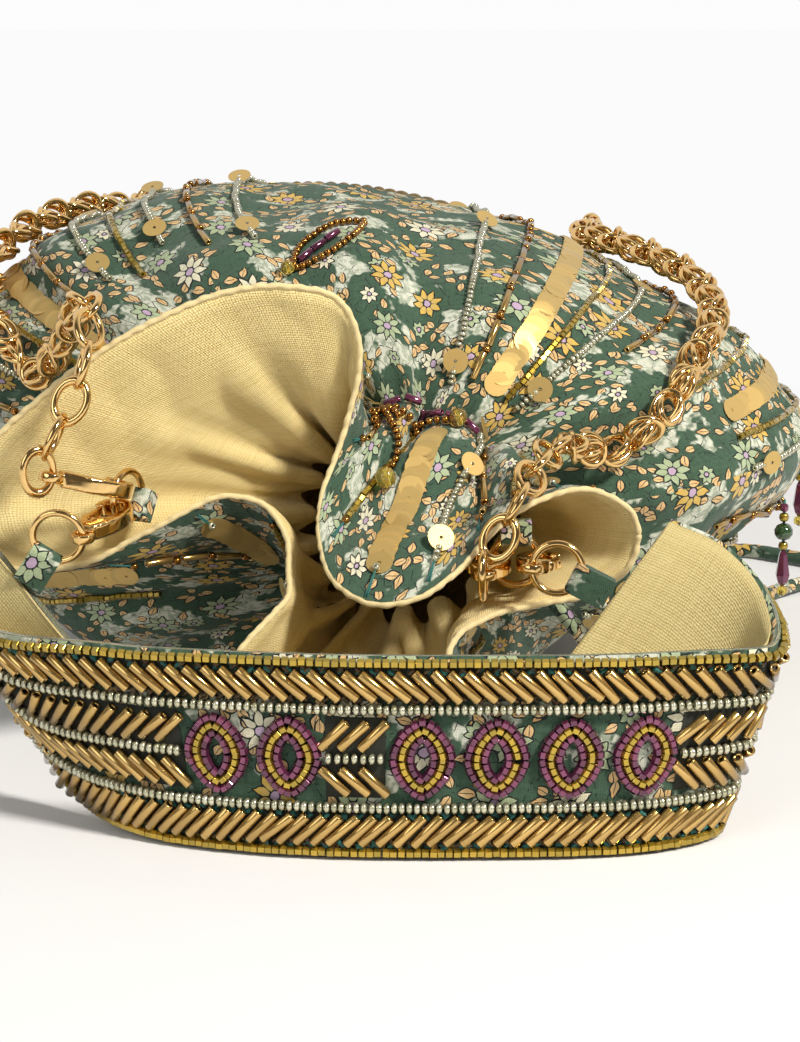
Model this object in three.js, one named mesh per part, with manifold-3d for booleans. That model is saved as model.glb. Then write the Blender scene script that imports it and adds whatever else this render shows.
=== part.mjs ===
// A lined potli bag of printed cloth, lying on its side with its mouth towards -Y.
// Its beaded handle strap stands on edge in front of the mouth.
// Millimetres, +Z up. The object rests on z = 0, and its origin is under the middle of its box.

import * as THREE from "three";
import { mergeVertices } from "three/addons/utils/BufferGeometryUtils.js";
import Module from "manifold-3d";

const wasm = await Module();
wasm.setup();

// Cloth layers
const clothThickness = 1.1;
const liningThickness = 0.9;
const layerGap = 0.35;
const pieceGap = 0.35;
const stitchedGap = 0.35;

// Pouch: gathered neck, widest section and base rim, all measured behind the strap's front
const neckRadius = 21;
const neckX = 2;
const neckDepth = 78;
const neckHeight = 47;
const neckLead = 9;
const neckFlare = 2.5;
const gatherCount = 16;
const gatherDepth = 2.1;
const bodyHalfWidth = 97;
const bodyHalfHeight = 54;
const bodyX = -8;
const bodyHeight = 53;
const shoulderDepth = 56;
const shoulderShare = 0.5;
const baseHalfWidth = 74;
const baseHalfHeight = 47;
const baseHeight = 53.5;
const baseDepth = 66;
const leftLean = 0.13;
const rightTuck = 18;

// Grid of the cloth surfaces
const columnsPerGather = 4;
const columns = gatherCount * columnsPerGather;
const ruffleRows = 5;
const bodyRows = 7;

// Base panel and the cord round it
const panelThickness = 1.6;
const pipingRadius = 1.6;
const pipingSides = 6;
const pipingStep = 1;
const pipingGap = 1.1;

// Mouth edge of the ruffle: x, depth, height and the neck angle that each point gathers to
const mouthEdge = [
  [46, 46, 50.4, 2],
  [44.5, 46, 55, 8],
  [37, 46, 58.5, 18],
  [26.5, 43, 57, 30],
  [18, 37, 52.5, 40],
  [10.5, 29, 46, 50],
  [3.5, 25, 42.5, 60],
  [-5.5, 25, 41.5, 70],
  [-12.5, 30, 44.5, 78],
  [-15, 38, 49.5, 85],
  [-15.5, 46, 55, 91],
  [-14, 52, 62, 97],
  [-10.5, 55, 72, 104],
  [-8.5, 55, 86, 113],
  [-12, 53, 95, 121],
  [-21, 51, 98, 128],
  [-36, 50, 96, 137],
  [-52, 49, 89, 146],
  [-65.5, 48, 80, 154],
  [-78.5, 48, 68.5, 163],
  [-87, 48, 58, 171],
  [-86, 47, 49, 178],
  [-77, 46, 44, 184],
  [-63, 46, 44.5, 190],
  [-49.5, 48, 50.5, 197],
  [-35, 51, 57, 206],
  [-27, 51, 55.5, 212],
  [-22.5, 48, 49.5, 217],
  [-21, 42, 44, 222],
  [-21, 34, 40, 228],
  [-26.5, 26, 36, 234],
  [-31, 21, 31, 239],
  [-36, 15, 20, 245],
  [-39, 12, 9.5, 251],
  [-33, 11, 3.5, 257],
  [-18, 11, 2.4, 266],
  [0, 11, 2.4, 276],
  [12.5, 12, 4.5, 285],
  [17, 14, 12, 292],
  [12.5, 18, 22, 299],
  [8.5, 22, 31, 306],
  [10.5, 27, 35, 312],
  [16, 32, 37, 319],
  [25, 39, 38, 328],
  [37, 44, 39.5, 342],
  [44.5, 46, 44, 353],
];

// Bead strands: kind, neck angle, and the stretch of the cloth that each covers
const beadRadius = 1.1;
const bugleRadius = 1;
const sequinHalfWidth = 2.1;
const sequinHalfThickness = 0.35;
const bodyStrands = [
  ["sequin", 21, 0.3, 0.94],
  ["gold", 30, 0.24, 0.97],
  ["bugle", 45, 0.24, 0.8],
  ["clear", 51, 0.08, 0.9],
  ["gold", 56, 0.08, 0.9],
  ["sequin", 61.5, 0.08, 0.94],
  ["bugle", 68, 0.06, 0.97],
  ["clear", 74, 0.06, 0.94],
  ["bugle", 114, 0.3, 0.97],
  ["gold", 125.5, 0.3, 0.97],
  ["clear", 131, 0.3, 0.94],
];
const ruffleStrands = [
  ["bugle", 44, -0.85, -0.2],
  ["clear", 58, -0.9, -0.15],
  ["sequin", 71, -0.92, -0.42],
  ["sequin", 202, -0.9, -0.55],
];

// Handle strap: middle of its width, and the way from its lower to its upper edge
const strapWidth = 38;
const strapThickness = 1.6;
const strapLiningThickness = 0.8;
const strapLiningInset = 0.8;
const strapStretches = [
  [0, 0.32, 16],
  [0.32, 0.74, 7],
  [0.74, 1, 11],
];
const strapParts = 4;
const strapRoute = [
  [-71, 31, 43.5, -0.62, 0.45, 0.64],
  [-78.5, 33, 32, -0.62, 0.2, 0.76],
  [-70, 25, 21.5, -0.52, 0.02, 0.86],
  [-49, 10.5, 19.2, -0.2, -0.04, 0.98],
  [-20, 2.2, 19.1, -0.02, -0.02, 1],
  [14, 0.6, 19.1, 0.02, -0.02, 1],
  [46, 3.4, 19.1, 0.08, -0.04, 0.99],
  [63, 12, 19.2, 0.26, -0.1, 0.96],
  [61, 24, 27, 0.42, 0.2, 0.885],
  [51.5, 29.5, 36, 0.52, 0.32, 0.79],
  [40.5, 30.5, 41.5, 0.6, 0.35, 0.72],
];

// Bead rows on the strap, from its lower to its upper edge, with the height of the beads
const edgeRowWidth = 2.2;
const bugleRowWidth = 5.6;
const clearRowWidth = 2.3;
const rowGap = 0.4;
const edgeBeadHeight = 1.9;
const bugleRowHeight = 1.7;
const clearBeadHeight = 1.9;
const figureHeight = 2.4;
const figureHalfLength = 6;
const figurePitch = 13.4;
const leftFigureCount = 2;
const rightFigureCount = 4;
const leftFiguresAt = -33;
const rightFiguresAt = 4;
const figureClearance = 0.6;

// Rings and tabs
const wireRadius = 0.7;
const ringRadius = 4.8;
const tabWidth = 6;
const tabThickness = 3.8;
const tabTunnelGap = 0.35;

const strapTabLength = 7.2;
const strapTabGap = 1;

// Where the claws point, and how the bag's own rings are held
const leftStrapClawDirection = [0.35, 0.92, 0.17];
const leftChainClawDirection = [0.83, 0.49, -0.25];
const leftHookSpacing = 4.6;
const leftBagRingDirection = [0.5, 0.87, 0];
const leftBagTabDip = 29;
const leftBagTabLength = 2.4;
const rightStrapClawDirection = [0.17, 0.97, -0.11];
const rightChainClawDirection = [0.12, 0.98, -0.02];
const rightBagTabLength = 3.2;

// Lobster claws, in their own plane: the eye at 0, the nose towards +x, the gate on the +y side
const clawThickness = 3.2;
const gateThickness = 2;
const eyeOuterRadius = 2.4;
const eyeHoleRadius = 1.35;
const clawBackY = -4.3;
const clawGateY = 4;
const clawNoseX = 17.2;
const clawNeckHalfWidth = 1.2;
const cavityX = 10.9;
const cavityHalfLength = 4.6;
const cavityHalfWidth = 2.3;
const pivotX = 5.6;
const pivotY = 2.7;
const pivotRadius = 1.25;
const gateEndX = 12.5;
const gateInnerY = 2.3;
const gateGap = 0.35;
const gateTravelDeg = 20;
const gateSwingSteps = 4;
const lugX = 8.6;
const lugHalfLength = 1.1;
const lugHeight = 1.1;
const hookX = 13.6;

// Beadwork at the neck: a bundle of strings from the pouch over the neck onto the ruffle
const branchRadius = 1.7;
const branchAngle = 90;
const branchFrom = -0.7;
const branchTo = -0.06;

// Bead drops hanging from the pouch: neck angle, place along the cloth, and the profile of the beads
const dropPlaces = [
  [-10, 3 / 7],
  [0, 4 / 7],
];
const dropThreadRadius = 0.45;
const dropGap = 0.8;
const dropBeads = [
  [1, 2],
  [1.1, 2.2],
  [2.1, 4.2],
  [1.1, 2],
  [1.7, 8],
  [1.2, 2.2],
];

// Drawcords of rolled cloth: they leave the neck at the right and lie on the floor, tied in one knot
const drawcordRadius = 1.75;
const drawcordSides = 8;
const knotRadius = 3.6;
const knotAt = [123, 226];
const cordExitAngle = 334;
const cordExitSpread = 9;
const cordExitOut = 4.7;
const cordExitFront = 2.7;
const longCordRoute = [
  [31, 73, 31],
  [38, 76, 22],
  [45, 82, 12],
  [51, 92, 4.5],
  [56, 105, 2.3],
  [61, 125, 1.95],
  [65, 150, 1.95],
  [68, 180, 1.95],
  [71, 210, 1.95],
  [76, 234, 1.95],
  [84, 247, 1.95],
  [94, 248, 1.95],
  [104, 241, 1.95],
  [113, 233, 1.95],
];
const shortCordRoute = [
  [36, 71, 36],
  [44, 72, 27],
  [52, 78, 16],
  [60, 88, 6.5],
  [66, 102, 2.5],
  [71, 122, 1.95],
  [76, 145, 1.95],
  [81, 168, 1.95],
  [88, 188, 1.95],
  [98, 203, 1.95],
  [109, 214, 1.95],
];

// Chain: open stretches in space and, between them, places on the pouch (neck angle, place along the cloth)
const chainLift = 5.6;
const chainLeftHang = [
  [-66, 36.5, 70.5],
  [-63, 39, 77],
  [-60.5, 41, 84],
  [-59.5, 45, 90.5],
  [-60.5, 52, 94],
  [-63.5, 62, 92.5],
  [-68, 77, 84.5],
];
const chainLeftPouch = [
  [153, 0.25],
  [150, 0.34],
  [146, 0.42],
  [141, 0.5],
  [138, 0.62],
  [134, 0.8],
  [133, 0.92],
];
const chainBehind = [
  [-60, 202, 100.5],
  [-58, 211, 89],
  [-49, 211, 77],
  [-30, 210, 65],
  [0, 210, 59],
  [28, 210, 63],
  [42, 212, 74],
  [47, 212, 84],
  [48, 203, 93],
];
const chainRightPouch = [
  [54, 0.86],
  [49, 0.65],
  [43, 0.5],
  [38, 0.36],
  [35, 0.26],
  [27, 0.17],
];
const chainRightHang = [
  [42, 76, 61],
  [35, 67, 64],
  [30.5, 57, 65],
  [27, 46, 64.5],
  [24.5, 37, 62.5],
  [21, 31.5, 57.5],
];

// Chain links
const linkRadius = 3.1;
const linkStretch = 1.35;
const linkWireRadius = 0.75;
const linkOverlap = 0.6;
const linkTurn = Math.PI / 4;
const linkSides = 6;
const openLinks = 7;
const closedLinkHalfThickness = 1.8;
const eyeLinkRise = 0.6;
const leftEndLinkSide = [0.49, -0.83, 0];
const rightEndLinkSide = [0.98, -0.12, 0];

const red = (x) => (x * Math.PI) / 180;
const vec = (x, y, z) => new THREE.Vector3(x, y, z);

// Materials
const material = (color, roughness, metalness) => new THREE.MeshStandardMaterial({ color, roughness, metalness });
const printCloth = material(0x4b6f62, 0.85, 0);
const linen = material(0xdccb92, 0.9, 0);
const cordMaterial = material(0x6d5a36, 0.6, 0.2);
const goldBead = material(0xb8912f, 0.35, 0.8);
const bronzeBead = material(0x9a6f2c, 0.3, 0.85);
const clearBead = material(0xd9d3b4, 0.15, 0.3);
const purpleBead = material(0x7a2f63, 0.3, 0.4);
const goldMetal = material(0xe0a44a, 0.2, 1);

const bag = new THREE.Group();

function addPiece(name, geometry, pieceMaterial) {
  const piece = new THREE.Mesh(geometry, pieceMaterial);
  piece.name = name;
  bag.add(piece);
  return piece;
}

// A closed mesh from points and triangles, turned to face outwards
function closedGeometry(points, triangles) {
  let volume = 0;
  const cross = new THREE.Vector3();
  for (const [a, b, c] of triangles) {
    volume += points[a].dot(cross.crossVectors(points[b], points[c]));
  }
  const geometry = new THREE.BufferGeometry().setFromPoints(points);
  const order = volume < 0 ? triangles.map(([a, b, c]) => [a, c, b]) : triangles;
  geometry.setIndex(order.flat());
  return geometry;
}

// A skin over rings of equally many points: joined end to end, or closed by a fan at each end.
// Quads from the given point on are split the other way, so that the two faces of a strip match.
function skin(rings, joined, firstCentre, lastCentre, splitFrom = Infinity) {
  const count = rings[0].length;
  const points = rings.flat();
  const triangles = [];
  const spans = joined ? rings.length : rings.length - 1;
  for (let r = 0; r < spans; r++) {
    const here = r * count;
    const there = ((r + 1) % rings.length) * count;
    for (let i = 0; i < count; i++) {
      const next = (i + 1) % count;
      if (i >= splitFrom) {
        triangles.push([here + i, here + next, there + i]);
        triangles.push([here + next, there + next, there + i]);
      } else {
        triangles.push([here + i, here + next, there + next]);
        triangles.push([here + i, there + next, there + i]);
      }
    }
  }
  if (!joined) {
    const last = (rings.length - 1) * count;
    const first = points.push(firstCentre) - 1;
    const end = points.push(lastCentre) - 1;
    for (let i = 0; i < count; i++) {
      const next = (i + 1) % count;
      triangles.push([first, next, i]);
      triangles.push([end, last + i, last + next]);
    }
  }
  return closedGeometry(points, triangles);
}

const middle = (ring) => ring.reduce((sum, p) => sum.add(p), new THREE.Vector3()).divideScalar(ring.length);

// Solids for joins and cuts
function solidOf(geometry) {
  const bare = geometry.clone();
  bare.deleteAttribute("normal");
  bare.deleteAttribute("uv");
  const merged = mergeVertices(bare, 1e-4);
  const vertProperties = new Float32Array(merged.attributes.position.array);
  const triVerts = new Uint32Array(merged.index.array);
  return new wasm.Manifold(new wasm.Mesh({ numProp: 3, vertProperties, triVerts }));
}

function geometryOf(solid) {
  const mesh = solid.getMesh();
  const geometry = new THREE.BufferGeometry();
  geometry.setAttribute("position", new THREE.BufferAttribute(mesh.vertProperties, 3));
  geometry.setIndex(new THREE.BufferAttribute(mesh.triVerts, 1));
  return geometry;
}

// Cloth surface: u runs round the bag, v from the mouth edge (-1) by the neck (0) to the base rim (1)
const mouthCurve = new THREE.CatmullRomCurve3(
  mouthEdge.map(([x, depth, height]) => vec(x, depth, height)),
  true,
  "centripetal",
);
mouthCurve.arcLengthDivisions = 1200;

function neckAngle(u) {
  const place = mouthCurve.getUtoTmapping(u) * mouthEdge.length;
  const index = Math.floor(place) % mouthEdge.length;
  const from = mouthEdge[index][3];
  const following = mouthEdge[(index + 1) % mouthEdge.length][3];
  const to = following < from ? following + 360 : following;
  return red(from + (to - from) * (place - Math.floor(place)));
}

function clothPoint(u, v) {
  const round = u - Math.floor(u);
  const angle = neckAngle(round);
  const ripple = gatherDepth * Math.cos(2 * Math.PI * gatherCount * round);
  if (v < 0) {
    const neck = vec(Math.cos(angle), 0, Math.sin(angle)).multiplyScalar(neckRadius + ripple);
    neck.add(vec(neckX, neckDepth, neckHeight));
    const lead = vec(Math.cos(angle) * neckFlare, -neckLead, Math.sin(angle) * neckFlare).add(neck);
    const edge = mouthCurve.getPointAt(round);
    const t = -v;
    return neck.multiplyScalar((1 - t) ** 2).addScaledVector(lead, 2 * t * (1 - t)).addScaledVector(edge, t * t);
  }
  const rise = Math.min(1, v / shoulderShare) * (Math.PI / 2);
  const swell = Math.sin(rise);
  const past = Math.max(0, (v - shoulderShare) / (1 - shoulderShare));
  const fade = (1 - v) ** 2 * ripple;
  const halfWidth = neckRadius + (bodyHalfWidth - neckRadius) * swell - (bodyHalfWidth - baseHalfWidth) * past ** 2;
  const halfHeight =
    neckRadius + (bodyHalfHeight - neckRadius) * swell - (bodyHalfHeight - baseHalfHeight) * past ** 2;
  const lowerRight = Math.cos(angle) > 0 ? Math.max(0, -Math.sin(2 * angle)) ** 2 : 0;
  const tuck = rightTuck * swell * lowerRight;
  const x = neckX + (bodyX - neckX) * swell + (halfWidth + fade) * Math.cos(angle) - tuck;
  const lean = leftLean * swell * Math.max(0, Math.sin(angle)) * (x - bodyX);
  const middleHeight = neckHeight + (bodyHeight - neckHeight) * swell + (baseHeight - bodyHeight) * past;
  const height = middleHeight + (halfHeight + fade) * Math.sin(angle) - lean;
  const depth = neckDepth + shoulderDepth * (1 - Math.cos(rise)) + baseDepth * past;
  return vec(x, depth, height);
}

function clothNormal(u, v) {
  const stepU = 0.25 / columns;
  const stepV = 0.02;
  const alongU = clothPoint(u + stepU, v).sub(clothPoint(u - stepU, v));
  const alongV = clothPoint(u, Math.min(1, v + stepV)).sub(clothPoint(u, Math.max(-1, v - stepV)));
  return alongV.cross(alongU).normalize();
}

// A point off the cloth surface, kept above the floor by the layers under it
function layerPoint(u, v, offset) {
  const point = clothPoint(u, v).addScaledVector(clothNormal(u, v), offset);
  point.z = Math.max(point.z, clothThickness - offset);
  return point;
}

function clothRing(v, offset) {
  return Array.from({ length: columns }, (_, column) => layerPoint(column / columns, v, offset));
}

const ruffleLevels = Array.from({ length: ruffleRows }, (_, row) => -1 + row / ruffleRows);
const bodyLevels = Array.from({ length: bodyRows + 1 }, (_, row) => row / bodyRows);

// Printed outer shell, one cloth tube
const shellLevels = [...ruffleLevels, ...bodyLevels];
const shellFace = shellLevels.map((v) => clothRing(v, clothThickness));
const shellBack = shellLevels.map((v) => clothRing(v, 0)).reverse();
addPiece("outer_shell", skin([...shellFace, ...shellBack], true), printCloth);

// Lining, a bag of its own inside the shell
const liningRows = shellLevels.slice(0, -1);
const liningOuter = liningRows.map((v) => clothRing(v, -layerGap)).reverse();
const liningInner = liningRows.map((v) => clothRing(v, -layerGap - liningThickness));
const innerCentre = middle(liningInner.at(-1)).add(vec(0, -liningThickness, 0));
const innerEnd = liningInner.at(-1).map((p) => p.clone().add(vec(0, -liningThickness, 0)));
liningInner[liningInner.length - 1] = innerEnd;
addPiece(
  "lining",
  skin([...liningOuter, ...liningInner], false, middle(liningOuter[0]), innerCentre),
  linen,
);

// Base panel with its own lining, held inside the rim
const rimInset = pieceGap;
const rimBack = clothRing(1, 0);
const rimMiddle = middle(rimBack);
function panelRing(behind) {
  return rimBack.map((p) => {
    const inward = rimMiddle.clone().sub(p).setY(0).normalize();
    return p.clone().addScaledVector(inward, rimInset).setY(rimMiddle.y - behind);
  });
}
const panelFront = panelRing(panelThickness);
const panelBack = panelRing(0);
addPiece("base_panel", skin([panelFront, panelBack], false, middle(panelFront), middle(panelBack)), printCloth);

// Section swept along a route of frames: across is the width's way, out the face's way
function sweep(frames, section, joined = false) {
  const rings = frames.map(({ at, across, out }) =>
    section.map(([a, b]) => at.clone().addScaledVector(across, a).addScaledVector(out, b)),
  );
  return skin(rings, joined, middle(rings[0]), middle(rings.at(-1)), section.length / 2);
}

function roundSection(radius, sides) {
  return Array.from({ length: sides }, (_, side) => {
    const angle = (2 * Math.PI * side) / sides;
    return [radius * Math.cos(angle), radius * Math.sin(angle)];
  });
}

function flatSection(low, high, bottom, top, parts = 1) {
  const stops = Array.from({ length: parts + 1 }, (_, i) => low + ((high - low) * i) / parts);
  return [...stops.map((a) => [a, bottom]), ...stops.reverse().map((a) => [a, top])];
}

// Twisted piping cord round the base rim
const pipingFrames = [];
for (let column = 0; column < columns; column += pipingStep) {
  const rim = layerPoint(column / columns, 1, clothThickness);
  const across = rim.clone().sub(rimMiddle).setY(0).normalize();
  const at = rim.addScaledVector(across, pipingRadius + pipingGap);
  at.z = Math.max(at.z, pipingRadius);
  pipingFrames.push({ at, across, out: vec(0, 1, 0) });
}
addPiece("base_piping", sweep(pipingFrames, roundSection(pipingRadius, pipingSides), true), cordMaterial);

// Bead strands along the grid's columns
const strandSections = {
  gold: [roundSection(beadRadius, 5), beadRadius, goldBead],
  clear: [roundSection(beadRadius, 5), beadRadius, clearBead],
  bugle: [roundSection(bugleRadius, 5), bugleRadius, bronzeBead],
  sequin: [
    flatSection(-sequinHalfWidth, sequinHalfWidth, -sequinHalfThickness, sequinHalfThickness),
    sequinHalfThickness + 0.4,
    goldBead,
  ],
};

// The place round the cloth that gathers to a neck angle, found by halving
function placeOfAngle(angleDeg) {
  let low = 0;
  let high = 1;
  for (let i = 0; i < 40; i++) {
    const mid = (low + high) / 2;
    if (neckAngle(mid) < red(angleDeg)) low = mid;
    else high = mid;
  }
  return (low + high) / 2;
}

// A point on the grid's facets between two columns
function facetPoint(u, v, offset) {
  const place = u * columns;
  const share = place - Math.floor(place);
  const here = layerPoint(Math.floor(place) / columns, v, offset);
  return here.lerp(layerPoint(Math.ceil(place) / columns, v, offset), share);
}

function strandFrames(u, from, to, lift) {
  const levels = shellLevels.filter((v) => v > from + 0.02 && v < to - 0.02);
  return [from, ...levels, to].map((v) => {
    const out = clothNormal(u, v);
    const at = facetPoint(u, v, clothThickness).addScaledVector(out, lift + pieceGap);
    const ahead = facetPoint(u, Math.min(1, v + 0.02), 0).sub(facetPoint(u, v - 0.02, 0));
    return { at, across: ahead.cross(out).normalize(), out };
  });
}

const strandCounts = {};
for (const [place, strands] of [["body", bodyStrands], ["ruffle", ruffleStrands]]) {
  for (const [kind, angle, from, to] of strands) {
    const [section, lift, look] = strandSections[kind];
    const label = place + "_" + kind + "_strand_";
    strandCounts[label] = (strandCounts[label] ?? 0) + 1;
    const frames = strandFrames(placeOfAngle(angle), from, to, lift);
    addPiece(label + strandCounts[label], sweep(frames, section), look);
  }
}

// Handle strap: frames along its length
const strapMiddle = new THREE.CatmullRomCurve3(strapRoute.map(([x, depth, height]) => vec(x, depth, height)));
const strapAcross = new THREE.CatmullRomCurve3(strapRoute.map(([, , , x, depth, height]) => vec(x, depth, height)));
const strapLength = strapMiddle.getLength();

function strapFrame(share) {
  const at = strapMiddle.getPointAt(share);
  const along = strapMiddle.getTangentAt(share);
  const across = strapAcross.getPoint(strapMiddle.getUtoTmapping(share)).normalize();
  const out = along.cross(across).normalize();
  const beadTop = strapThickness / 2 + stitchedGap + edgeBeadHeight;
  const lowest = (strapWidth / 2) * across.z + beadTop * Math.max(0, -out.z);
  at.z = Math.max(at.z, lowest);
  return { at, across, out };
}

const strapLevels = strapStretches.flatMap(([from, to, steps]) =>
  Array.from({ length: steps }, (_, i) => from + ((to - from) * i) / steps),
);

function strapBand(from, to, low, high, bottom, top, parts = 1) {
  const inner = strapLevels.filter((share) => share > from + 0.004 && share < to - 0.004);
  const frames = [from, ...inner, to].map(strapFrame);
  return sweep(frames, flatSection(low, high, bottom, top, parts));
}

const strapHalf = strapWidth / 2;
const groundFace = strapThickness / 2;
const liningFace = -groundFace - stitchedGap;
const strapLiningHalf = strapHalf - strapLiningInset;
addPiece(
  "strap_ground",
  strapBand(0, 1, -strapHalf, strapHalf, -groundFace, groundFace, strapParts),
  printCloth,
);
addPiece(
  "strap_lining",
  strapBand(0, 1, -strapLiningHalf, strapLiningHalf, liningFace - strapLiningThickness, liningFace, strapParts),
  linen,
);

// Bead rows, mirrored about the strap's middle line
const beadFoot = groundFace + stitchedGap;
const bugleTop = strapHalf - edgeRowWidth - rowGap;
const clearTop = bugleTop - bugleRowWidth - rowGap;
const centreTop = clearTop - clearRowWidth - rowGap;
const rowKinds = [
  ["edge_bead_row", strapHalf - edgeRowWidth, strapHalf, edgeBeadHeight, goldBead],
  ["bugle_row", bugleTop - bugleRowWidth, bugleTop, bugleRowHeight, bronzeBead],
  ["clear_bead_row", clearTop - clearRowWidth, clearTop, clearBeadHeight, clearBead],
];
for (const [label, low, high, beadHeight, look] of rowKinds) {
  addPiece("upper_" + label, strapBand(0.01, 0.99, low, high, beadFoot, beadFoot + beadHeight), look);
  addPiece("lower_" + label, strapBand(0.01, 0.99, -high, -low, beadFoot, beadFoot + beadHeight), look);
}

// Centre band: two groups of raised figures, with bugle work before, between and after them
function shareAtX(x) {
  let low = 0.2;
  let high = 0.8;
  for (let i = 0; i < 40; i++) {
    const mid = (low + high) / 2;
    if (strapMiddle.getPointAt(mid).x < x) low = mid;
    else high = mid;
  }
  return (low + high) / 2;
}
const pitchShare = figurePitch / strapLength;
const halfShare = figureHalfLength / strapLength;
const figureGroups = [
  [shareAtX(leftFiguresAt), leftFigureCount],
  [shareAtX(rightFiguresAt), rightFigureCount],
];
let figureNumber = 0;
for (const [start, count] of figureGroups) {
  for (let i = 0; i < count; i++) {
    const at = start + i * pitchShare;
    const foot = strapFrame(at);
    const before = strapFrame(at - halfShare).at;
    const after = strapFrame(at + halfShare).at;
    const outline = [before, foot.at.clone().addScaledVector(foot.across, -centreTop), after];
    outline.push(foot.at.clone().addScaledVector(foot.across, centreTop));
    const lower = outline.map((p) => p.clone().addScaledVector(foot.out, beadFoot));
    const upper = outline.map((p) => p.clone().addScaledVector(foot.out, beadFoot + figureHeight));
    figureNumber += 1;
    addPiece("bead_figure_" + figureNumber, skin([lower, upper], false, middle(lower), middle(upper)), purpleBead);
  }
}
const figureSpans = figureGroups.map(([start, count]) => [
  start - halfShare - figureClearance / strapLength,
  start + (count - 1) * pitchShare + halfShare + figureClearance / strapLength,
]);
const centreSpans = [
  ["left", 0.01, figureSpans[0][0]],
  ["middle", figureSpans[0][1], figureSpans[1][0]],
  ["right", figureSpans[1][1], 0.99],
];
for (const [side, from, to] of centreSpans) {
  addPiece(
    "centre_bugles_" + side,
    strapBand(from, to, -centreTop, centreTop, beadFoot, beadFoot + bugleRowHeight),
    bronzeBead,
  );
}

// Round rings
function ringPiece(name, centre, towards, normal, radius) {
  const geometry = new THREE.TorusGeometry(radius, wireRadius, 6, 16);
  geometry.applyMatrix4(placement(centre, towards, normal));
  addPiece(name, geometry, goldMetal);
}

// The matrix that sets local x along one direction and local z as near as can be to another
function placement(origin, xWay, zWay) {
  const x = xWay.clone().normalize();
  const y = zWay.clone().cross(x).normalize();
  const z = x.clone().cross(y);
  return new THREE.Matrix4().makeBasis(x, y, z).setPosition(origin);
}

// A cloth tab folded over a ring's wire, its tunnel cut by the ring itself
function tabPiece(name, ringCentre, towards, normal, length) {
  const outline = new THREE.Shape();
  outline.moveTo(0, -tabThickness / 2);
  outline.lineTo(length, -tabThickness / 2);
  outline.lineTo(length, tabThickness / 2);
  outline.lineTo(0, tabThickness / 2);
  outline.absarc(0, 0, tabThickness / 2, Math.PI / 2, (3 * Math.PI) / 2, false);
  const block = new THREE.ExtrudeGeometry(outline, { depth: tabWidth, bevelEnabled: false, curveSegments: 5 });
  block.translate(0, 0, -tabWidth / 2);
  block.rotateX(Math.PI / 2);
  block.translate(ringRadius, 0, 0);
  const tunnel = new THREE.TorusGeometry(ringRadius, wireRadius + tabTunnelGap, 6, 16);
  const tab = geometryOf(solidOf(block).subtract(solidOf(tunnel)));
  tab.applyMatrix4(placement(ringCentre, towards, normal));
  addPiece(name, tab, printCloth);
}

// Lobster claw body and gate, in the claw's own plane
function flatSolid(shape, thickness, curveSegments = 6) {
  const geometry = new THREE.ExtrudeGeometry(shape, { depth: thickness, bevelEnabled: false, curveSegments });
  geometry.translate(0, 0, -thickness / 2);
  return geometry;
}

function discShape(x, y, radius) {
  const shape = new THREE.Shape();
  shape.absarc(x, y, radius, 0, 2 * Math.PI, false);
  return shape;
}

function gateShape(grow) {
  const radius = pivotRadius + grow;
  const top = pivotY + pivotRadius + grow;
  const shape = new THREE.Shape();
  shape.moveTo(pivotX, top);
  shape.absarc(pivotX, pivotY, radius, Math.PI / 2, (3 * Math.PI) / 2, false);
  shape.lineTo(pivotX + pivotRadius, gateInnerY - grow);
  shape.lineTo(gateEndX + grow, gateInnerY - grow);
  shape.lineTo(gateEndX + grow, top);
  if (grow === 0) {
    shape.lineTo(lugX + lugHalfLength, top);
    shape.lineTo(lugX, top + lugHeight);
    shape.lineTo(lugX - lugHalfLength, top);
  }
  shape.closePath();
  return shape;
}

function clawSolid() {
  const outline = new THREE.Shape();
  outline.moveTo(eyeOuterRadius - 0.5, -clawNeckHalfWidth);
  outline.quadraticCurveTo(pivotX, clawBackY, cavityX - 1, clawBackY);
  outline.quadraticCurveTo(clawNoseX - 0.6, clawBackY, clawNoseX, 0);
  outline.quadraticCurveTo(clawNoseX - 0.2, clawGateY, gateEndX + 0.8, clawGateY);
  outline.lineTo(pivotX, clawGateY);
  outline.quadraticCurveTo(eyeOuterRadius + 1, clawGateY - 0.6, eyeOuterRadius - 0.5, clawNeckHalfWidth);
  const cavity = new THREE.Shape();
  cavity.absellipse(cavityX, 0, cavityHalfLength, cavityHalfWidth, 0, 2 * Math.PI, false, 0);
  const deep = clawThickness + 2;
  let solid = solidOf(flatSolid(outline, clawThickness, 5));
  solid = solid.add(solidOf(flatSolid(discShape(0, 0, eyeOuterRadius), gateThickness)));
  solid = solid.subtract(solidOf(flatSolid(discShape(0, 0, eyeHoleRadius), deep, 5)));
  solid = solid.subtract(solidOf(flatSolid(cavity, deep, 7)));
  for (let i = 0; i <= gateSwingSteps; i++) {
    const swing = flatSolid(gateShape(gateGap), deep, 3);
    swing.translate(-pivotX, -pivotY, 0);
    swing.rotateZ(-red((gateTravelDeg * i) / gateSwingSteps));
    swing.translate(pivotX, pivotY, 0);
    solid = solid.subtract(solidOf(swing));
  }
  return solid;
}
const clawGeometry = geometryOf(clawSolid());
const gateGeometry = flatSolid(gateShape(0), gateThickness, 4);

function clawPiece(side, eye, towards, normal) {
  const matrix = placement(eye, towards, normal);
  addPiece("claw_" + side, clawGeometry.clone().applyMatrix4(matrix), goldMetal);
  addPiece("claw_gate_" + side, gateGeometry.clone().applyMatrix4(matrix), goldMetal);
}

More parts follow.
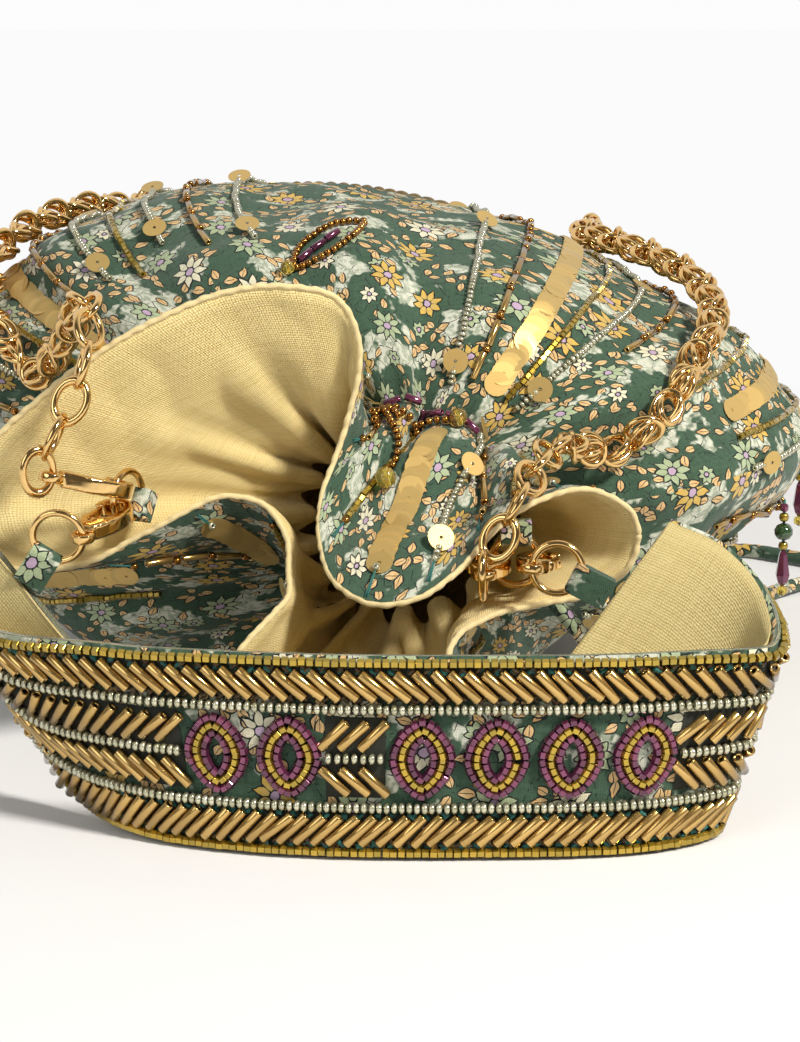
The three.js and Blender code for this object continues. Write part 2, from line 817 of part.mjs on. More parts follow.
// Each end of the strap: ring in its tab, the strap's claw on the ring, and the bag's own ring
function strapEnd(share, outward) {
  const { at } = strapFrame(share);
  const away = strapMiddle.getTangentAt(share).multiplyScalar(outward);
  const normal = vec(0, 1, 0).addScaledVector(away, -away.y).normalize();
  const centre = at.clone().addScaledVector(away, strapTabLength + ringRadius);
  return { centre, back: away.negate(), normal };
}
const leftEnd = strapEnd(0, -1);
const rightEnd = strapEnd(1, 1);
for (const [side, end] of [["left", leftEnd], ["right", rightEnd]]) {
  ringPiece("strap_ring_" + side, end.centre, end.back, end.normal, ringRadius);
  tabPiece("strap_tab_" + side, end.centre, end.back, end.normal, strapTabLength - strapTabGap);
}

const up = vec(0, 0, 1);
const leftStrapClawWay = vec(...leftStrapClawDirection).normalize();
const leftStrapEye = leftEnd.centre.clone().add(vec(ringRadius, 0, 0));
const leftStrapHook = leftStrapEye.clone().addScaledVector(leftStrapClawWay, hookX);
const leftChainHook = leftStrapHook.clone().addScaledVector(up, leftHookSpacing);
const leftChainClawWay = vec(...leftChainClawDirection).normalize();
const leftChainEye = leftChainHook.clone().addScaledVector(leftChainClawWay, -hookX);
clawPiece("left_strap", leftStrapEye, leftStrapClawWay, up);
clawPiece("left_chain", leftChainEye, leftChainClawWay, up);
const leftBagWay = vec(...leftBagRingDirection).normalize();
const leftBagOffset = Math.sqrt(ringRadius ** 2 - (leftHookSpacing / 2) ** 2);
const leftBagCentre = leftStrapHook.clone().lerp(leftChainHook, 0.5).addScaledVector(leftBagWay, leftBagOffset);
const leftBagNormal = leftBagWay.clone().cross(up);
const leftBagDown = leftBagWay.clone().multiplyScalar(Math.cos(red(leftBagTabDip)));
leftBagDown.addScaledVector(up, -Math.sin(red(leftBagTabDip)));
ringPiece("bag_ring_left", leftBagCentre, leftBagDown, leftBagNormal, ringRadius);
tabPiece("bag_tab_left", leftBagCentre, leftBagDown, leftBagNormal, leftBagTabLength);

const rightStrapClawWay = vec(...rightStrapClawDirection).normalize();
const rightStrapEye = rightEnd.centre.clone().add(vec(-ringRadius, 0, 0));
const rightStrapHook = rightStrapEye.clone().addScaledVector(rightStrapClawWay, hookX);
const rightChainHook = rightStrapHook.clone().add(vec(-2 * ringRadius, 0, 0));
const rightChainClawWay = vec(...rightChainClawDirection).normalize();
const rightChainEye = rightChainHook.clone().addScaledVector(rightChainClawWay, -hookX);
clawPiece("right_strap", rightStrapEye, rightStrapClawWay, up.clone().negate());
clawPiece("right_chain", rightChainEye, rightChainClawWay, up);
const rightBagCentre = rightStrapHook.clone().lerp(rightChainHook, 0.5);
ringPiece("bag_ring_right", rightBagCentre, up, vec(0, 1, 0), ringRadius);
tabPiece("bag_tab_right", rightBagCentre, up, vec(0, 1, 0), rightBagTabLength);

// Bundle of bead strings over the neck
const branchFrames = strandFrames(placeOfAngle(branchAngle), branchFrom, branchTo, branchRadius);
addPiece("neck_bead_branch", sweep(branchFrames, roundSection(branchRadius, 6)), bronzeBead);

// Bead drops, each a string of beads turned as one body
function dropGeometry() {
  const profile = [new THREE.Vector2(0, 0), new THREE.Vector2(dropThreadRadius, 0)];
  let height = -dropGap;
  for (const [radius, length] of dropBeads) {
    profile.push(new THREE.Vector2(dropThreadRadius, height));
    profile.push(new THREE.Vector2(radius, height - length * 0.3));
    profile.push(new THREE.Vector2(radius, height - length * 0.7));
    profile.push(new THREE.Vector2(dropThreadRadius, height - length));
    height -= length + 0.1;
  }
  profile.push(new THREE.Vector2(0, height));
  const geometry = new THREE.LatheGeometry(profile.reverse(), 7);
  geometry.rotateX(Math.PI / 2);
  return geometry;
}
dropPlaces.forEach(([angle, v], i) => {
  const u = placeOfAngle((angle + 360) % 360);
  const top = facetPoint(u, v, clothThickness + dropThreadRadius + pieceGap);
  const drop = dropGeometry();
  drop.translate(top.x, top.y, top.z);
  addPiece("bead_drop_" + (i + 1), drop, purpleBead);
});

// Drawcords and their knot
function cordPiece(name, exitAngle, route) {
  const outwards = vec(Math.cos(red(exitAngle)), 0, Math.sin(red(exitAngle)));
  const exit = clothPoint(placeOfAngle(exitAngle), 0).addScaledVector(outwards, cordExitOut);
  const points = [exit.add(vec(0, -cordExitFront, 0)), ...route.map(([x, depth, height]) => vec(x, depth, height))];
  const knot = vec(knotAt[0], knotAt[1], points.at(-1).z);
  const last = points.at(-1).clone().sub(knot).normalize();
  points.push(knot.addScaledVector(last, knotRadius + pieceGap));
  const curve = new THREE.CatmullRomCurve3(points);
  const steps = Math.round(curve.getLength() / (6 * drawcordRadius));
  const section = discShape(0, 0, drawcordRadius);
  const options = { steps, bevelEnabled: false, extrudePath: curve, curveSegments: drawcordSides / 2 };
  addPiece(name, new THREE.ExtrudeGeometry(section, options), printCloth);
}
cordPiece("drawcord_long", cordExitAngle, longCordRoute);
cordPiece("drawcord_short", cordExitAngle + cordExitSpread, shortCordRoute);
const knotGeometry = new THREE.SphereGeometry(knotRadius, 8, 6);
knotGeometry.translate(knotAt[0], knotAt[1], knotRadius);
addPiece("drawcord_knot", knotGeometry, printCloth);

// Shoulder chain: one run of links from claw to claw, joined where they touch
function pouchPoint([angle, v]) {
  return layerPoint(placeOfAngle(angle), v, clothThickness + chainLift);
}
function firstLink(eye, way) {
  return eye.clone().addScaledVector(way, -linkRadius * Math.cos(Math.PI / linkSides)).add(vec(0, 0, eyeLinkRise));
}
const chainCurve = new THREE.CatmullRomCurve3([
  firstLink(leftChainEye, leftChainClawWay),
  ...chainLeftHang.map((p) => vec(...p)),
  ...chainLeftPouch.map(pouchPoint),
  ...chainBehind.map((p) => vec(...p)),
  ...chainRightPouch.map(pouchPoint),
  ...chainRightHang.map((p) => vec(...p)),
  firstLink(rightChainEye, rightChainClawWay),
]);
const linkHalfLength = linkRadius * linkStretch;
const linkPitch = 2 * (linkHalfLength - linkWireRadius) + linkOverlap;
const linkCount = Math.round(chainCurve.getLength() / linkPitch) + 1;
const openLink = new THREE.TorusGeometry(linkRadius, linkWireRadius, 4, linkSides);
openLink.scale(linkStretch, 1, 1);
const closedLink = new THREE.OctahedronGeometry(1);
closedLink.scale(linkHalfLength + linkWireRadius, linkRadius + linkWireRadius, closedLinkHalfThickness);
let chain = null;
for (let i = 0; i < linkCount; i++) {
  const share = i / (linkCount - 1);
  const ending = i === 0 || i === linkCount - 1;
  const along = chainCurve.getTangentAt(share);
  const side = ending ? vec(...(i ? rightEndLinkSide : leftEndLinkSide)) : along.clone().cross(up);
  const lean = side.normalize().applyAxisAngle(along, ending ? 0 : (i % 2 ? 1 : -1) * linkTurn);
  const open = i < openLinks || i >= linkCount - openLinks;
  const link = (open ? openLink : closedLink).clone().applyMatrix4(placement(chainCurve.getPointAt(share), ending ? up : along, lean));
  chain = chain ? chain.add(solidOf(link)) : solidOf(link);
}
addPiece("shoulder_chain", geometryOf(chain), goldMetal);

// The frame's origin goes under the middle of the bag, its cords apart
const box = new THREE.Box3();
for (const piece of bag.children) {
  if (!piece.name.startsWith("drawcord")) box.expandByObject(piece);
}
bag.position.set(-(box.min.x + box.max.x) / 2, -(box.min.y + box.max.y) / 2, -box.min.z);

export default bag;
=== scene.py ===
import math
import bpy
import numpy as np
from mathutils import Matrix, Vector


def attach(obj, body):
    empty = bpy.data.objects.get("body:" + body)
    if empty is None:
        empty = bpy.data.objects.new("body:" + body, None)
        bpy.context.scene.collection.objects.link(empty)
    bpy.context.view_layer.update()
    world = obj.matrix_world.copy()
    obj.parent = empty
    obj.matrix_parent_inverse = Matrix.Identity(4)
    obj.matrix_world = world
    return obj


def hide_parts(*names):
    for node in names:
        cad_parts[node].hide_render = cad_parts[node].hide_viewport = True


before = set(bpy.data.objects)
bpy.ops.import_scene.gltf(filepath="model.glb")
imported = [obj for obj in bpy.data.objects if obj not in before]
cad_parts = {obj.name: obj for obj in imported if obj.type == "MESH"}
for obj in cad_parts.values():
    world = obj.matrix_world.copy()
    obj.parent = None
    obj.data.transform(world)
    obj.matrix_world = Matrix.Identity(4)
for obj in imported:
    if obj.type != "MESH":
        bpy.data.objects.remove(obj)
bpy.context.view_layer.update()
scene = bpy.context.scene
rng = np.random.default_rng(11)

# Lengths here are millimetres: x to the right, depth behind the strap's front, height above the floor.
bagPlace = np.array([6.324, -105.627, 0.0])  # from those to the frame's origin


def toFrame(points):
    return (np.asarray(points, float) + bagPlace) / 1000


# The photo's camera: its place, degrees below level, and the lens on a 36 mm wide sensor
photoView = {"at": (0, -467, 162), "pitchDown": 12, "lens": 93.1, "sensor": 36}


def setCamera():
    lens = bpy.data.cameras.new("photoCamera")
    lens.lens = photoView["lens"]
    lens.sensor_width = photoView["sensor"]
    lens.clip_end = 20
    camera = bpy.data.objects.new("photoCamera", lens)
    camera.location = toFrame(photoView["at"])
    camera.rotation_euler = (math.radians(90 - photoView["pitchDown"]), 0, 0)
    scene.collection.objects.link(camera)
    scene.camera = camera


setCamera()
print("camera set")


def unit(vectors):
    vectors = np.asarray(vectors, float)
    return vectors / np.maximum(np.linalg.norm(vectors, axis=-1, keepdims=True), 1e-9)


# One shown piece from points in bag millimetres and faces of equally many corners
def addPiece(name, points, faces, material, replaced=(), loopUv=None, tone=None, smooth=True):
    faces = np.asarray(faces, dtype=np.int32)
    corners = faces.shape[1]
    mesh = bpy.data.meshes.new(name)
    mesh.vertices.add(len(points))
    mesh.vertices.foreach_set("co", toFrame(points).astype(np.float32).ravel())
    mesh.loops.add(faces.size)
    mesh.loops.foreach_set("vertex_index", faces.ravel())
    mesh.polygons.add(len(faces))
    mesh.polygons.foreach_set("loop_start", np.arange(0, faces.size, corners, dtype=np.int32))
    mesh.update(calc_edges=True)
    mesh.polygons.foreach_set("use_smooth", np.full(len(faces), smooth))
    if loopUv is not None:
        layer = mesh.uv_layers.new(name="clothMap")
        layer.data.foreach_set("uv", np.asarray(loopUv, np.float32).ravel())
    if tone is not None:
        layer = mesh.attributes.new("tone", "FLOAT", "POINT")
        layer.data.foreach_set("value", np.asarray(tone, np.float32))
    mesh.validate()
    mesh.materials.append(material)
    piece = bpy.data.objects.new(name, mesh)
    scene.collection.objects.link(piece)
    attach(piece, "bag")
    if replaced:
        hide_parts(*replaced)
    return piece


# Quads of a grid of rows by columns, and the grid place of each corner
def gridFaces(rows, columns, closed=False):
    across = columns if closed else columns - 1
    r, c = np.meshgrid(np.arange(rows - 1), np.arange(across), indexing="ij")
    r, c = r.ravel(), c.ravel()
    far = (c + 1) % columns if closed else c + 1
    near, beyond = r * columns, (r + 1) * columns
    faces = np.stack([near + c, near + far, beyond + far, beyond + c], 1)
    corners = ((r, c), (r, c + 1), (r + 1, c + 1), (r + 1, c))
    places = np.stack([np.stack(corner, 1) for corner in corners], 1)
    return faces, places


# Many copies of one small bead: places, and frames as columns x, y, z
def spreadCopies(template, places, frames):
    points, faces = template
    places = np.asarray(places, float)
    placed = np.einsum("nij,kj->nki", np.asarray(frames, float), points) + places[:, None, :]
    shifted = faces[None] + (np.arange(len(places)) * len(points))[:, None, None]
    return placed.reshape(-1, 3), shifted.reshape(-1, faces.shape[1])


def joinParts(parts):
    points, faces, tones, start = [], [], [], 0
    for partPoints, partFaces, partTone in filter(None, parts):
        points.append(partPoints)
        faces.append(partFaces + start)
        tones.append(partTone)
        start += len(partPoints)
    return np.concatenate(points), np.concatenate(faces), np.concatenate(tones)


# One piece of many parts, kept above a lowest height where one is given
def addJoined(name, parts, material, replaced=(), smooth=True, lowest=None):
    points, faces, tone = joinParts(parts)
    if lowest is not None:
        points[:, 2] = np.maximum(points[:, 2], lowest)
    tone = tone if tone.any() else None
    addPiece(name, points, faces, material, replaced, tone=tone, smooth=smooth)
    print(name, len(faces) * 2, "triangles")


# A closed ring profile turned about x: list of (x, radius)
def turnedBead(profile, sides):
    profile = np.asarray(profile, float)
    angle = np.arange(sides) * 2 * math.pi / sides
    x = np.repeat(profile[:, 0:1], sides, 1)
    y = profile[:, 1:2] * np.cos(angle)
    z = profile[:, 1:2] * np.sin(angle)
    points = np.stack([x, y, z], -1).reshape(-1, 3)
    faces, _ = gridFaces(len(profile) + 1, sides, closed=True)
    return points, faces % len(points)


# The same from the right half of a profile that is even at both ends, its end first
def evenBead(half, sides):
    return turnedBead([(-x, radius) for x, radius in half] + half[::-1], sides)


def seedBead(radius, length, sides=8):
    end = length / 2
    return evenBead([(end, radius * 0.4), (end * 0.8, radius * 0.8), (end * 0.3, radius)], sides)


def threadStitch(radius, length):
    end = length / 2
    return evenBead([(end, 0.02), (end * 0.6, radius)], 4)


def cutBead(radius, length):
    end = length / 2
    return evenBead([(end, radius * 0.4), (end, radius * 0.85), (end * 0.86, radius)], 6)


# A glass tube with its bore sunk in at both ends
def bugleBead(radius, length, sides=8):
    end = length / 2
    half = [(end - 0.5, radius * 0.5), (end, radius * 0.52), (end, radius * 0.9), (end - 0.12, radius)]
    return evenBead(half, sides)


def sequinDisc(radius, thickness, sides=16):
    end = thickness / 2
    return evenBead([(end, 0.14 * radius), (end, radius)], sides)


# Frames whose x runs along a path and whose z is near a given way out
def framesAlong(along, out):
    x = unit(along)
    y = unit(np.cross(out, x))
    z = np.cross(x, y)
    return np.stack([x, y, z], -1)


def runningLength(path):
    return np.concatenate([[0], np.cumsum(np.linalg.norm(np.diff(path, axis=0), axis=1))])


# Equal steps along a dense path, as places between its points
def stepsAlong(path, pitch, start):
    lengths = runningLength(path)
    return np.interp(np.arange(start + pitch / 2, lengths[-1], pitch), lengths, np.arange(len(path)))


def pick(values, index):
    low = np.floor(index).astype(int)
    high = np.minimum(low + 1, len(values) - 1)
    share = (index - low)[:, None]
    return values[low] * (1 - share) + values[high] * share


# Round tube along a path: a closed ring, or open with capped ends and an even number of sides
def tubeAlong(path, radius, sides, closed=False, up=(0, 0, 1)):
    path = np.asarray(path, float)
    if closed:
        along = unit(np.roll(path, -1, 0) - np.roll(path, 1, 0))
    else:
        along = unit(np.gradient(path, axis=0))
    out = np.zeros_like(path)
    last = np.asarray(up, float)
    for i, way in enumerate(along):
        last = last - way * np.dot(last, way)
        last = last / max(np.linalg.norm(last), 1e-9)
        out[i] = last
    side = np.cross(along, out)
    turn = np.arange(sides)[None, :] * 2 * math.pi / sides
    radius = np.broadcast_to(radius, (len(path),))[:, None]
    outward = (radius * np.cos(turn))[..., None] * out[:, None]
    points = path[:, None] + outward + (radius * np.sin(turn))[..., None] * side[:, None]
    if closed:
        faces, _ = gridFaces(len(path) + 1, sides, closed=True)
        return points.reshape(-1, 3), faces % (len(path) * sides)
    faces, _ = gridFaces(len(path), sides, closed=True)
    count = len(path) * sides
    ring = np.arange(0, sides, 2)
    near = np.stack([np.full(len(ring), count), (ring + 2) % sides, ring + 1, ring], 1)
    last = count - sides + ring
    far = np.stack([np.full(len(ring), count + 1), last, last + 1, count - sides + (ring + 2) % sides], 1)
    return np.concatenate([points.reshape(-1, 3), path[:1], path[-1:]]), np.concatenate([faces, near, far])


def rootGap(a, b):
    return np.maximum(np.linalg.norm(b - a, axis=-1, keepdims=True) ** 0.5, 1e-4)


# Centripetal curve through points, closed or open
def curvePoints(points, place, closed):
    points = np.asarray(points, float)
    count = len(points)
    if closed:
        index = np.floor(place).astype(int)
        weight = place - index
        p0, p1, p2, p3 = (points[(index + k) % count] for k in (-1, 0, 1, 2))
    else:
        index = np.minimum(np.floor(place).astype(int), count - 2)
        weight = place - index
        before = 2 * points[0] - points[1]
        after = 2 * points[-1] - points[-2]
        longer = np.concatenate([[before], points, [after]])
        p0, p1, p2, p3 = (longer[index + k] for k in (0, 1, 2, 3))
    d0, d1, d2 = rootGap(p0, p1), rootGap(p1, p2), rootGap(p2, p3)
    t1 = ((p1 - p0) / d0 - (p2 - p0) / (d0 + d1) + (p2 - p1) / d1) * d1
    t2 = ((p2 - p1) / d1 - (p3 - p1) / (d1 + d2) + (p3 - p2) / d2) * d1
    w = weight[..., None]
    return p1 + t1 * w + (-3 * p1 + 3 * p2 - 2 * t1 - t2) * w ** 2 + (2 * p1 - 2 * p2 + t1 + t2) * w ** 3


# The same curve by share of its length: returns the places for the shares
def lengthPlaces(points, closed, shares):
    spans = len(points) if closed else len(points) - 1
    stepsEach = 60
    places = np.linspace(0, spans, spans * stepsEach + 1)
    line = curvePoints(points, places % spans if closed else places, closed)
    if closed:
        line[-1] = line[0]
    lengths = runningLength(line)
    return np.interp(np.asarray(shares) * lengths[-1], lengths, places), lengths[-1]


# The pouch's cloth: sizes as the part has them, then the mesh's rows and columns and the depth of its folds
pouch = {
    "clothThickness": 1.1, "layerGap": 0.35, "neckRadius": 21, "neck": (2, 78, 47), "neckLead": 9,
    "neckFlare": 2.5, "gatherCount": 16, "gatherDepth": 2.1, "bodyHalfWidth": 97, "bodyHalfHeight": 54,
    "bodyX": -8, "bodyHeight": 53, "shoulderDepth": 56, "shoulderShare": 0.5, "baseHalfWidth": 74,
    "baseHalfHeight": 47, "baseHeight": 53.5, "baseDepth": 66, "leftLean": 0.13, "rightTuck": 18,
    "columns": 432, "ruffleRows": 72, "bodyRows": 72, "foldDepth": 1.6, "creaseDepth": 0.9, "slackDepth": 1.5,
    "swayDepth": 1.3, "liningTurn": 0.9,
}
# x, depth, height, and the neck angle that each point of the mouth gathers to
mouthEdge = np.array([
    (46, 46, 50.4, 2), (44.5, 46, 55, 8), (37, 46, 58.5, 18), (26.5, 43, 57, 30), (18, 37, 52.5, 40),
    (10.5, 29, 46, 50), (3.5, 25, 42.5, 60), (-5.5, 25, 41.5, 70), (-12.5, 30, 44.5, 78),
    (-15, 38, 49.5, 85), (-15.5, 46, 55, 91), (-14, 52, 62, 97), (-10.5, 55, 72, 104),
    (-8.5, 55, 86, 113), (-12, 53, 95, 121), (-21, 51, 98, 128), (-36, 50, 96, 137),
    (-52, 49, 89, 146), (-65.5, 48, 80, 154), (-78.5, 48, 68.5, 163), (-87, 48, 58, 171),
    (-86, 47, 49, 178), (-77, 46, 44, 184), (-63, 46, 44.5, 190), (-49.5, 48, 50.5, 197),
    (-35, 51, 57, 206), (-27, 51, 55.5, 212), (-22.5, 48, 49.5, 217), (-21, 42, 44, 222),
    (-21, 34, 40, 228), (-26.5, 26, 36, 234), (-31, 21, 31, 239), (-36, 15, 20, 245),
    (-39, 12, 9.5, 251), (-33, 11, 3.5, 257), (-18, 11, 2.4, 266), (0, 11, 2.4, 276),
    (12.5, 12, 4.5, 285), (17, 14, 12, 292), (12.5, 18, 22, 299), (8.5, 22, 31, 306),
    (10.5, 27, 35, 312), (16, 32, 37, 319), (25, 39, 38, 328), (37, 44, 39.5, 342),
    (44.5, 46, 44, 353)], float)

edgeShares = np.linspace(0, 1, 2401)
edgePlaces, edgeLength = lengthPlaces(mouthEdge[:, :3], True, edgeShares)
edgeLine = curvePoints(mouthEdge[:, :3], edgePlaces % len(mouthEdge), True)
edgeAngles = np.interp(edgePlaces, np.arange(len(mouthEdge) + 1), np.append(mouthEdge[:, 3], 362))


# A value of the mouth's edge at a share u of the way round
def wrapped(values, u):
    place = (u - np.floor(u)) * (len(edgeShares) - 1)
    low = np.floor(place).astype(int) % (len(edgeShares) - 1)
    share = place - np.floor(place)
    first, second = values[low], values[low + 1]
    if values.ndim > 1:
        share = share[..., None]
    return first * (1 - share) + second * share


# The share of the way round that gathers to an angle of the neck
def placeOfAngle(angle):
    angle = np.asarray(angle, float)
    angle = np.where(angle < 2, angle + 360, angle)
    return np.interp(angle, edgeAngles, edgeShares)


# Cloth surface before its small folds: u round the bag, v from the mouth (-1) by the neck (0) to the rim (1)
def clothPoints(u, v):
    p = pouch
    u, v = np.broadcast_arrays(np.asarray(u, float), np.asarray(v, float))
    angle = np.radians(wrapped(edgeAngles, u))
    ripple = p["gatherDepth"] * np.cos(2 * math.pi * p["gatherCount"] * u)
    c, s = np.cos(angle), np.sin(angle)
    zero = np.zeros_like(c)
    neck = np.stack([c, zero, s], -1) * (p["neckRadius"] + ripple)[..., None] + np.array(p["neck"], float)
    lead = neck + np.stack([c * p["neckFlare"], zero - p["neckLead"], s * p["neckFlare"]], -1)
    t = np.maximum(0, -v)[..., None]
    ruffle = neck * (1 - t) ** 2 + lead * 2 * t * (1 - t) + wrapped(edgeLine, u) * t * t
    w = np.maximum(0, v)
    rise = np.minimum(1, w / p["shoulderShare"]) * math.pi / 2
    swell = np.sin(rise)
    past = np.maximum(0, (w - p["shoulderShare"]) / (1 - p["shoulderShare"]))
    fade = (1 - w) ** 2 * ripple
    wide = p["neckRadius"] + (p["bodyHalfWidth"] - p["neckRadius"]) * swell
    wide = wide - (p["bodyHalfWidth"] - p["baseHalfWidth"]) * past ** 2
    tall = p["neckRadius"] + (p["bodyHalfHeight"] - p["neckRadius"]) * swell
    tall = tall - (p["bodyHalfHeight"] - p["baseHalfHeight"]) * past ** 2
    tuck = p["rightTuck"] * swell * np.where(c > 0, np.maximum(0, -np.sin(2 * angle)) ** 2, 0)
    x = p["neck"][0] + (p["bodyX"] - p["neck"][0]) * swell + (wide + fade) * c - tuck
    lean = p["leftLean"] * swell * np.maximum(0, s) * (x - p["bodyX"])
    rising = (p["bodyHeight"] - p["neck"][2]) * swell
    middle = p["neck"][2] + rising + (p["baseHeight"] - p["bodyHeight"]) * past
    height = middle + (tall + fade) * s - lean
    depth = p["neck"][1] + p["shoulderDepth"] * (1 - np.cos(rise)) + p["baseDepth"] * past
    body = np.stack([x, depth, height], -1)
    return np.where((v < 0)[..., None], ruffle, body)


# Smooth waves in space, mostly between -1 and 1, for creases and slack
def spaceWaves(points, wavelength, seed, count=7):
    chance = np.random.default_rng(seed)
    total = np.zeros(points.shape[:-1])
    for _ in range(count):
        way = unit(chance.normal(size=3)) * 2 * math.pi / (wavelength * chance.uniform(0.7, 1.4))
        total += np.cos(points @ way + chance.uniform(0, 6.28))
    return total / math.sqrt(count)


def smoothStep(low, high, value):
    share = np.clip((value - low) / (high - low), 0, 1)
    return share * share * (3 - 2 * share)


# How far the folds and creases stand off that surface: gathers by the neck, creases, slack and sway
def foldHeight(u, v, points):
    wave = 2 * math.pi * u
    gathers = 0.6 * np.cos(16 * wave + 1.4 * np.sin(3 * wave))
    gathers += 0.45 * np.cos(29 * wave + 1.1 * np.sin(5 * wave))
    t = np.maximum(0, -v)
    w = np.maximum(0, v)
    ruffleShare = smoothStep(0, 0.12, t) * (1 - smoothStep(0.25, 0.95, t)) + 0.12 * smoothStep(0.3, 0.6, t)
    bodyShare = smoothStep(0, 0.05, w) * np.exp(-w / 0.2)
    height = pouch["foldDepth"] * gathers * np.where(v < 0, ruffleShare, bodyShare)
    rough = spaceWaves(points, 26, 3) * 0.6 + (1 - np.abs(spaceWaves(points, 17, 5))) * 0.5 - 0.2
    calm = smoothStep(0.0, 0.1, np.abs(v)) * (1 - smoothStep(0.9, 1.0, w))
    calm = calm * (1 - 0.6 * smoothStep(0.9, 1.0, t))
    onBody = smoothStep(0.12, 0.4, w) * (1 - smoothStep(0.8, 1.0, w))
    onRuffle = smoothStep(0.2, 0.5, t) * (1 - smoothStep(0.8, 1.0, t))
    slack = pouch["slackDepth"] * spaceWaves(points, 60, 13, 5) * onBody
    sway = pouch["swayDepth"] * spaceWaves(points, 38, 17, 5) * onRuffle
    return height + pouch["creaseDepth"] * rough * calm + slack + sway


# Normals of a grid whose columns run round the bag
def surfaceNormals(grid):
    across = np.roll(grid, -1, 1) - np.roll(grid, 1, 1)
    return unit(np.cross(np.gradient(grid, axis=0), across))


# A sheet of the bag's tube at an offset from the cloth's middle surface, as rows by columns
def clothGrid(rows, columns, offset):
    u = np.arange(columns) / columns
    uu, vv = np.meshgrid(u, rows)
    plain = clothPoints(uu, vv)
    squeezed = 0.4 + 0.6 * smoothStep(0.02, 0.22, np.abs(vv))
    lift = foldHeight(uu, vv, plain) + offset * squeezed
    points = plain + surfaceNormals(plain) * lift[..., None]
    points[..., 2] = np.maximum(points[..., 2], max(0.05, pouch["clothThickness"] - offset))
    return points, surfaceNormals(points)


# One dense sheet that beads are laid on
layRows = np.concatenate([np.linspace(-1, 0, 121)[:-1], np.linspace(0, 1, 161)])
layColumns = 1152
layGrid, layNormals = clothGrid(layRows, layColumns, pouch["clothThickness"])


# Points and normals of that sheet at places round the bag (u) and along the cloth (v)
def layAt(u, v):
    row = np.interp(v, layRows, np.arange(len(layRows)))
    column = (u - np.floor(u)) * layColumns
    r0 = np.minimum(np.floor(row).astype(int), len(layRows) - 2)
    c0 = np.floor(column).astype(int) % layColumns
    c1 = (c0 + 1) % layColumns
    rs, cs = (row - r0)[..., None], (column - np.floor(column))[..., None]
    found = []
    for grid in (layGrid, layNormals):
        near = grid[r0, c0] * (1 - cs) + grid[r0, c1] * cs
        far = grid[r0 + 1, c0] * (1 - cs) + grid[r0 + 1, c1] * cs
        found.append(near * (1 - rs) + far * rs)
    return found[0], unit(found[1])


print("cloth surface ready")


# Materials: small helpers, then node groups, then one function for each finish
def addNode(tree, kind, **settings):
    node = tree.nodes.new(kind)
    for name, value in settings.items():
        setattr(node, name, value)
    return node


def feed(tree, socket, value):
    if isinstance(value, bpy.types.NodeSocket):
        tree.links.new(value, socket)
    elif value is not None:
        socket.default_value = value


# Values or links for a node's inputs, by their names
def setInputs(tree, node, values):
    for name, value in values.items():
        feed(tree, node.inputs[name], value)


def calc(tree, operation, first, second=None, third=None, clamp=False):
    node = addNode(tree, "ShaderNodeMath", operation=operation, use_clamp=clamp)
    for slot, value in enumerate((first, second, third)):
        feed(tree, node.inputs[slot], value)
    return node.outputs[0]


def plus(tree, first, second, clamp=False):
    return calc(tree, "ADD", first, second, clamp=clamp)


def minus(tree, first, second, clamp=False):
    return calc(tree, "SUBTRACT", first, second, clamp=clamp)


def times(tree, first, second):
    return calc(tree, "MULTIPLY", first, second)


def blendColour(tree, share, first, second, how="MIX"):
    node = addNode(tree, "ShaderNodeMix", data_type="RGBA", blend_type=how)
    feed(tree, node.inputs[0], share)
    feed(tree, node.inputs[6], first)
    feed(tree, node.inputs[7], second)
    return node.outputs[2]


def softMask(tree, value, low, high):
    node = addNode(tree, "ShaderNodeMapRange", interpolation_type="SMOOTHSTEP")
    feed(tree, node.inputs[0], value)
    node.inputs[1].default_value = low
    node.inputs[2].default_value = high
    return node.outputs[0]


def scaledVector(tree, vector, scale):
    node = addNode(tree, "ShaderNodeVectorMath", operation="MULTIPLY")
    feed(tree, node.inputs[0], vector)
    feed(tree, node.inputs[1], scale)
    return node.outputs[0]


def noiseOf(tree, vector, scale, detail, rough=0.5, output=0):
    node = addNode(tree, "ShaderNodeTexNoise")
    setInputs(tree, node, {"Vector": vector, "Scale": scale, "Detail": detail, "Roughness": rough})
    return node.outputs[output]


def newGroup(name, inputs, outputs):
    tree = bpy.data.node_groups.new(name, "ShaderNodeTree")
    for label, kind, value in inputs:
        socket = tree.interface.new_socket(name=label, in_out="INPUT", socket_type=kind)
        if value is not None:
            socket.default_value = value
    for label, kind in outputs:
        tree.interface.new_socket(name=label, in_out="OUTPUT", socket_type=kind)
    return tree, tree.nodes.new("NodeGroupInput").outputs, tree.nodes.new("NodeGroupOutput").inputs


def useGroup(tree, group, **values):
    node = addNode(tree, "ShaderNodeGroup", node_tree=group)
    setInputs(tree, node, values)
    return node.outputs


number, direction = "NodeSocketFloat", "NodeSocketVector"


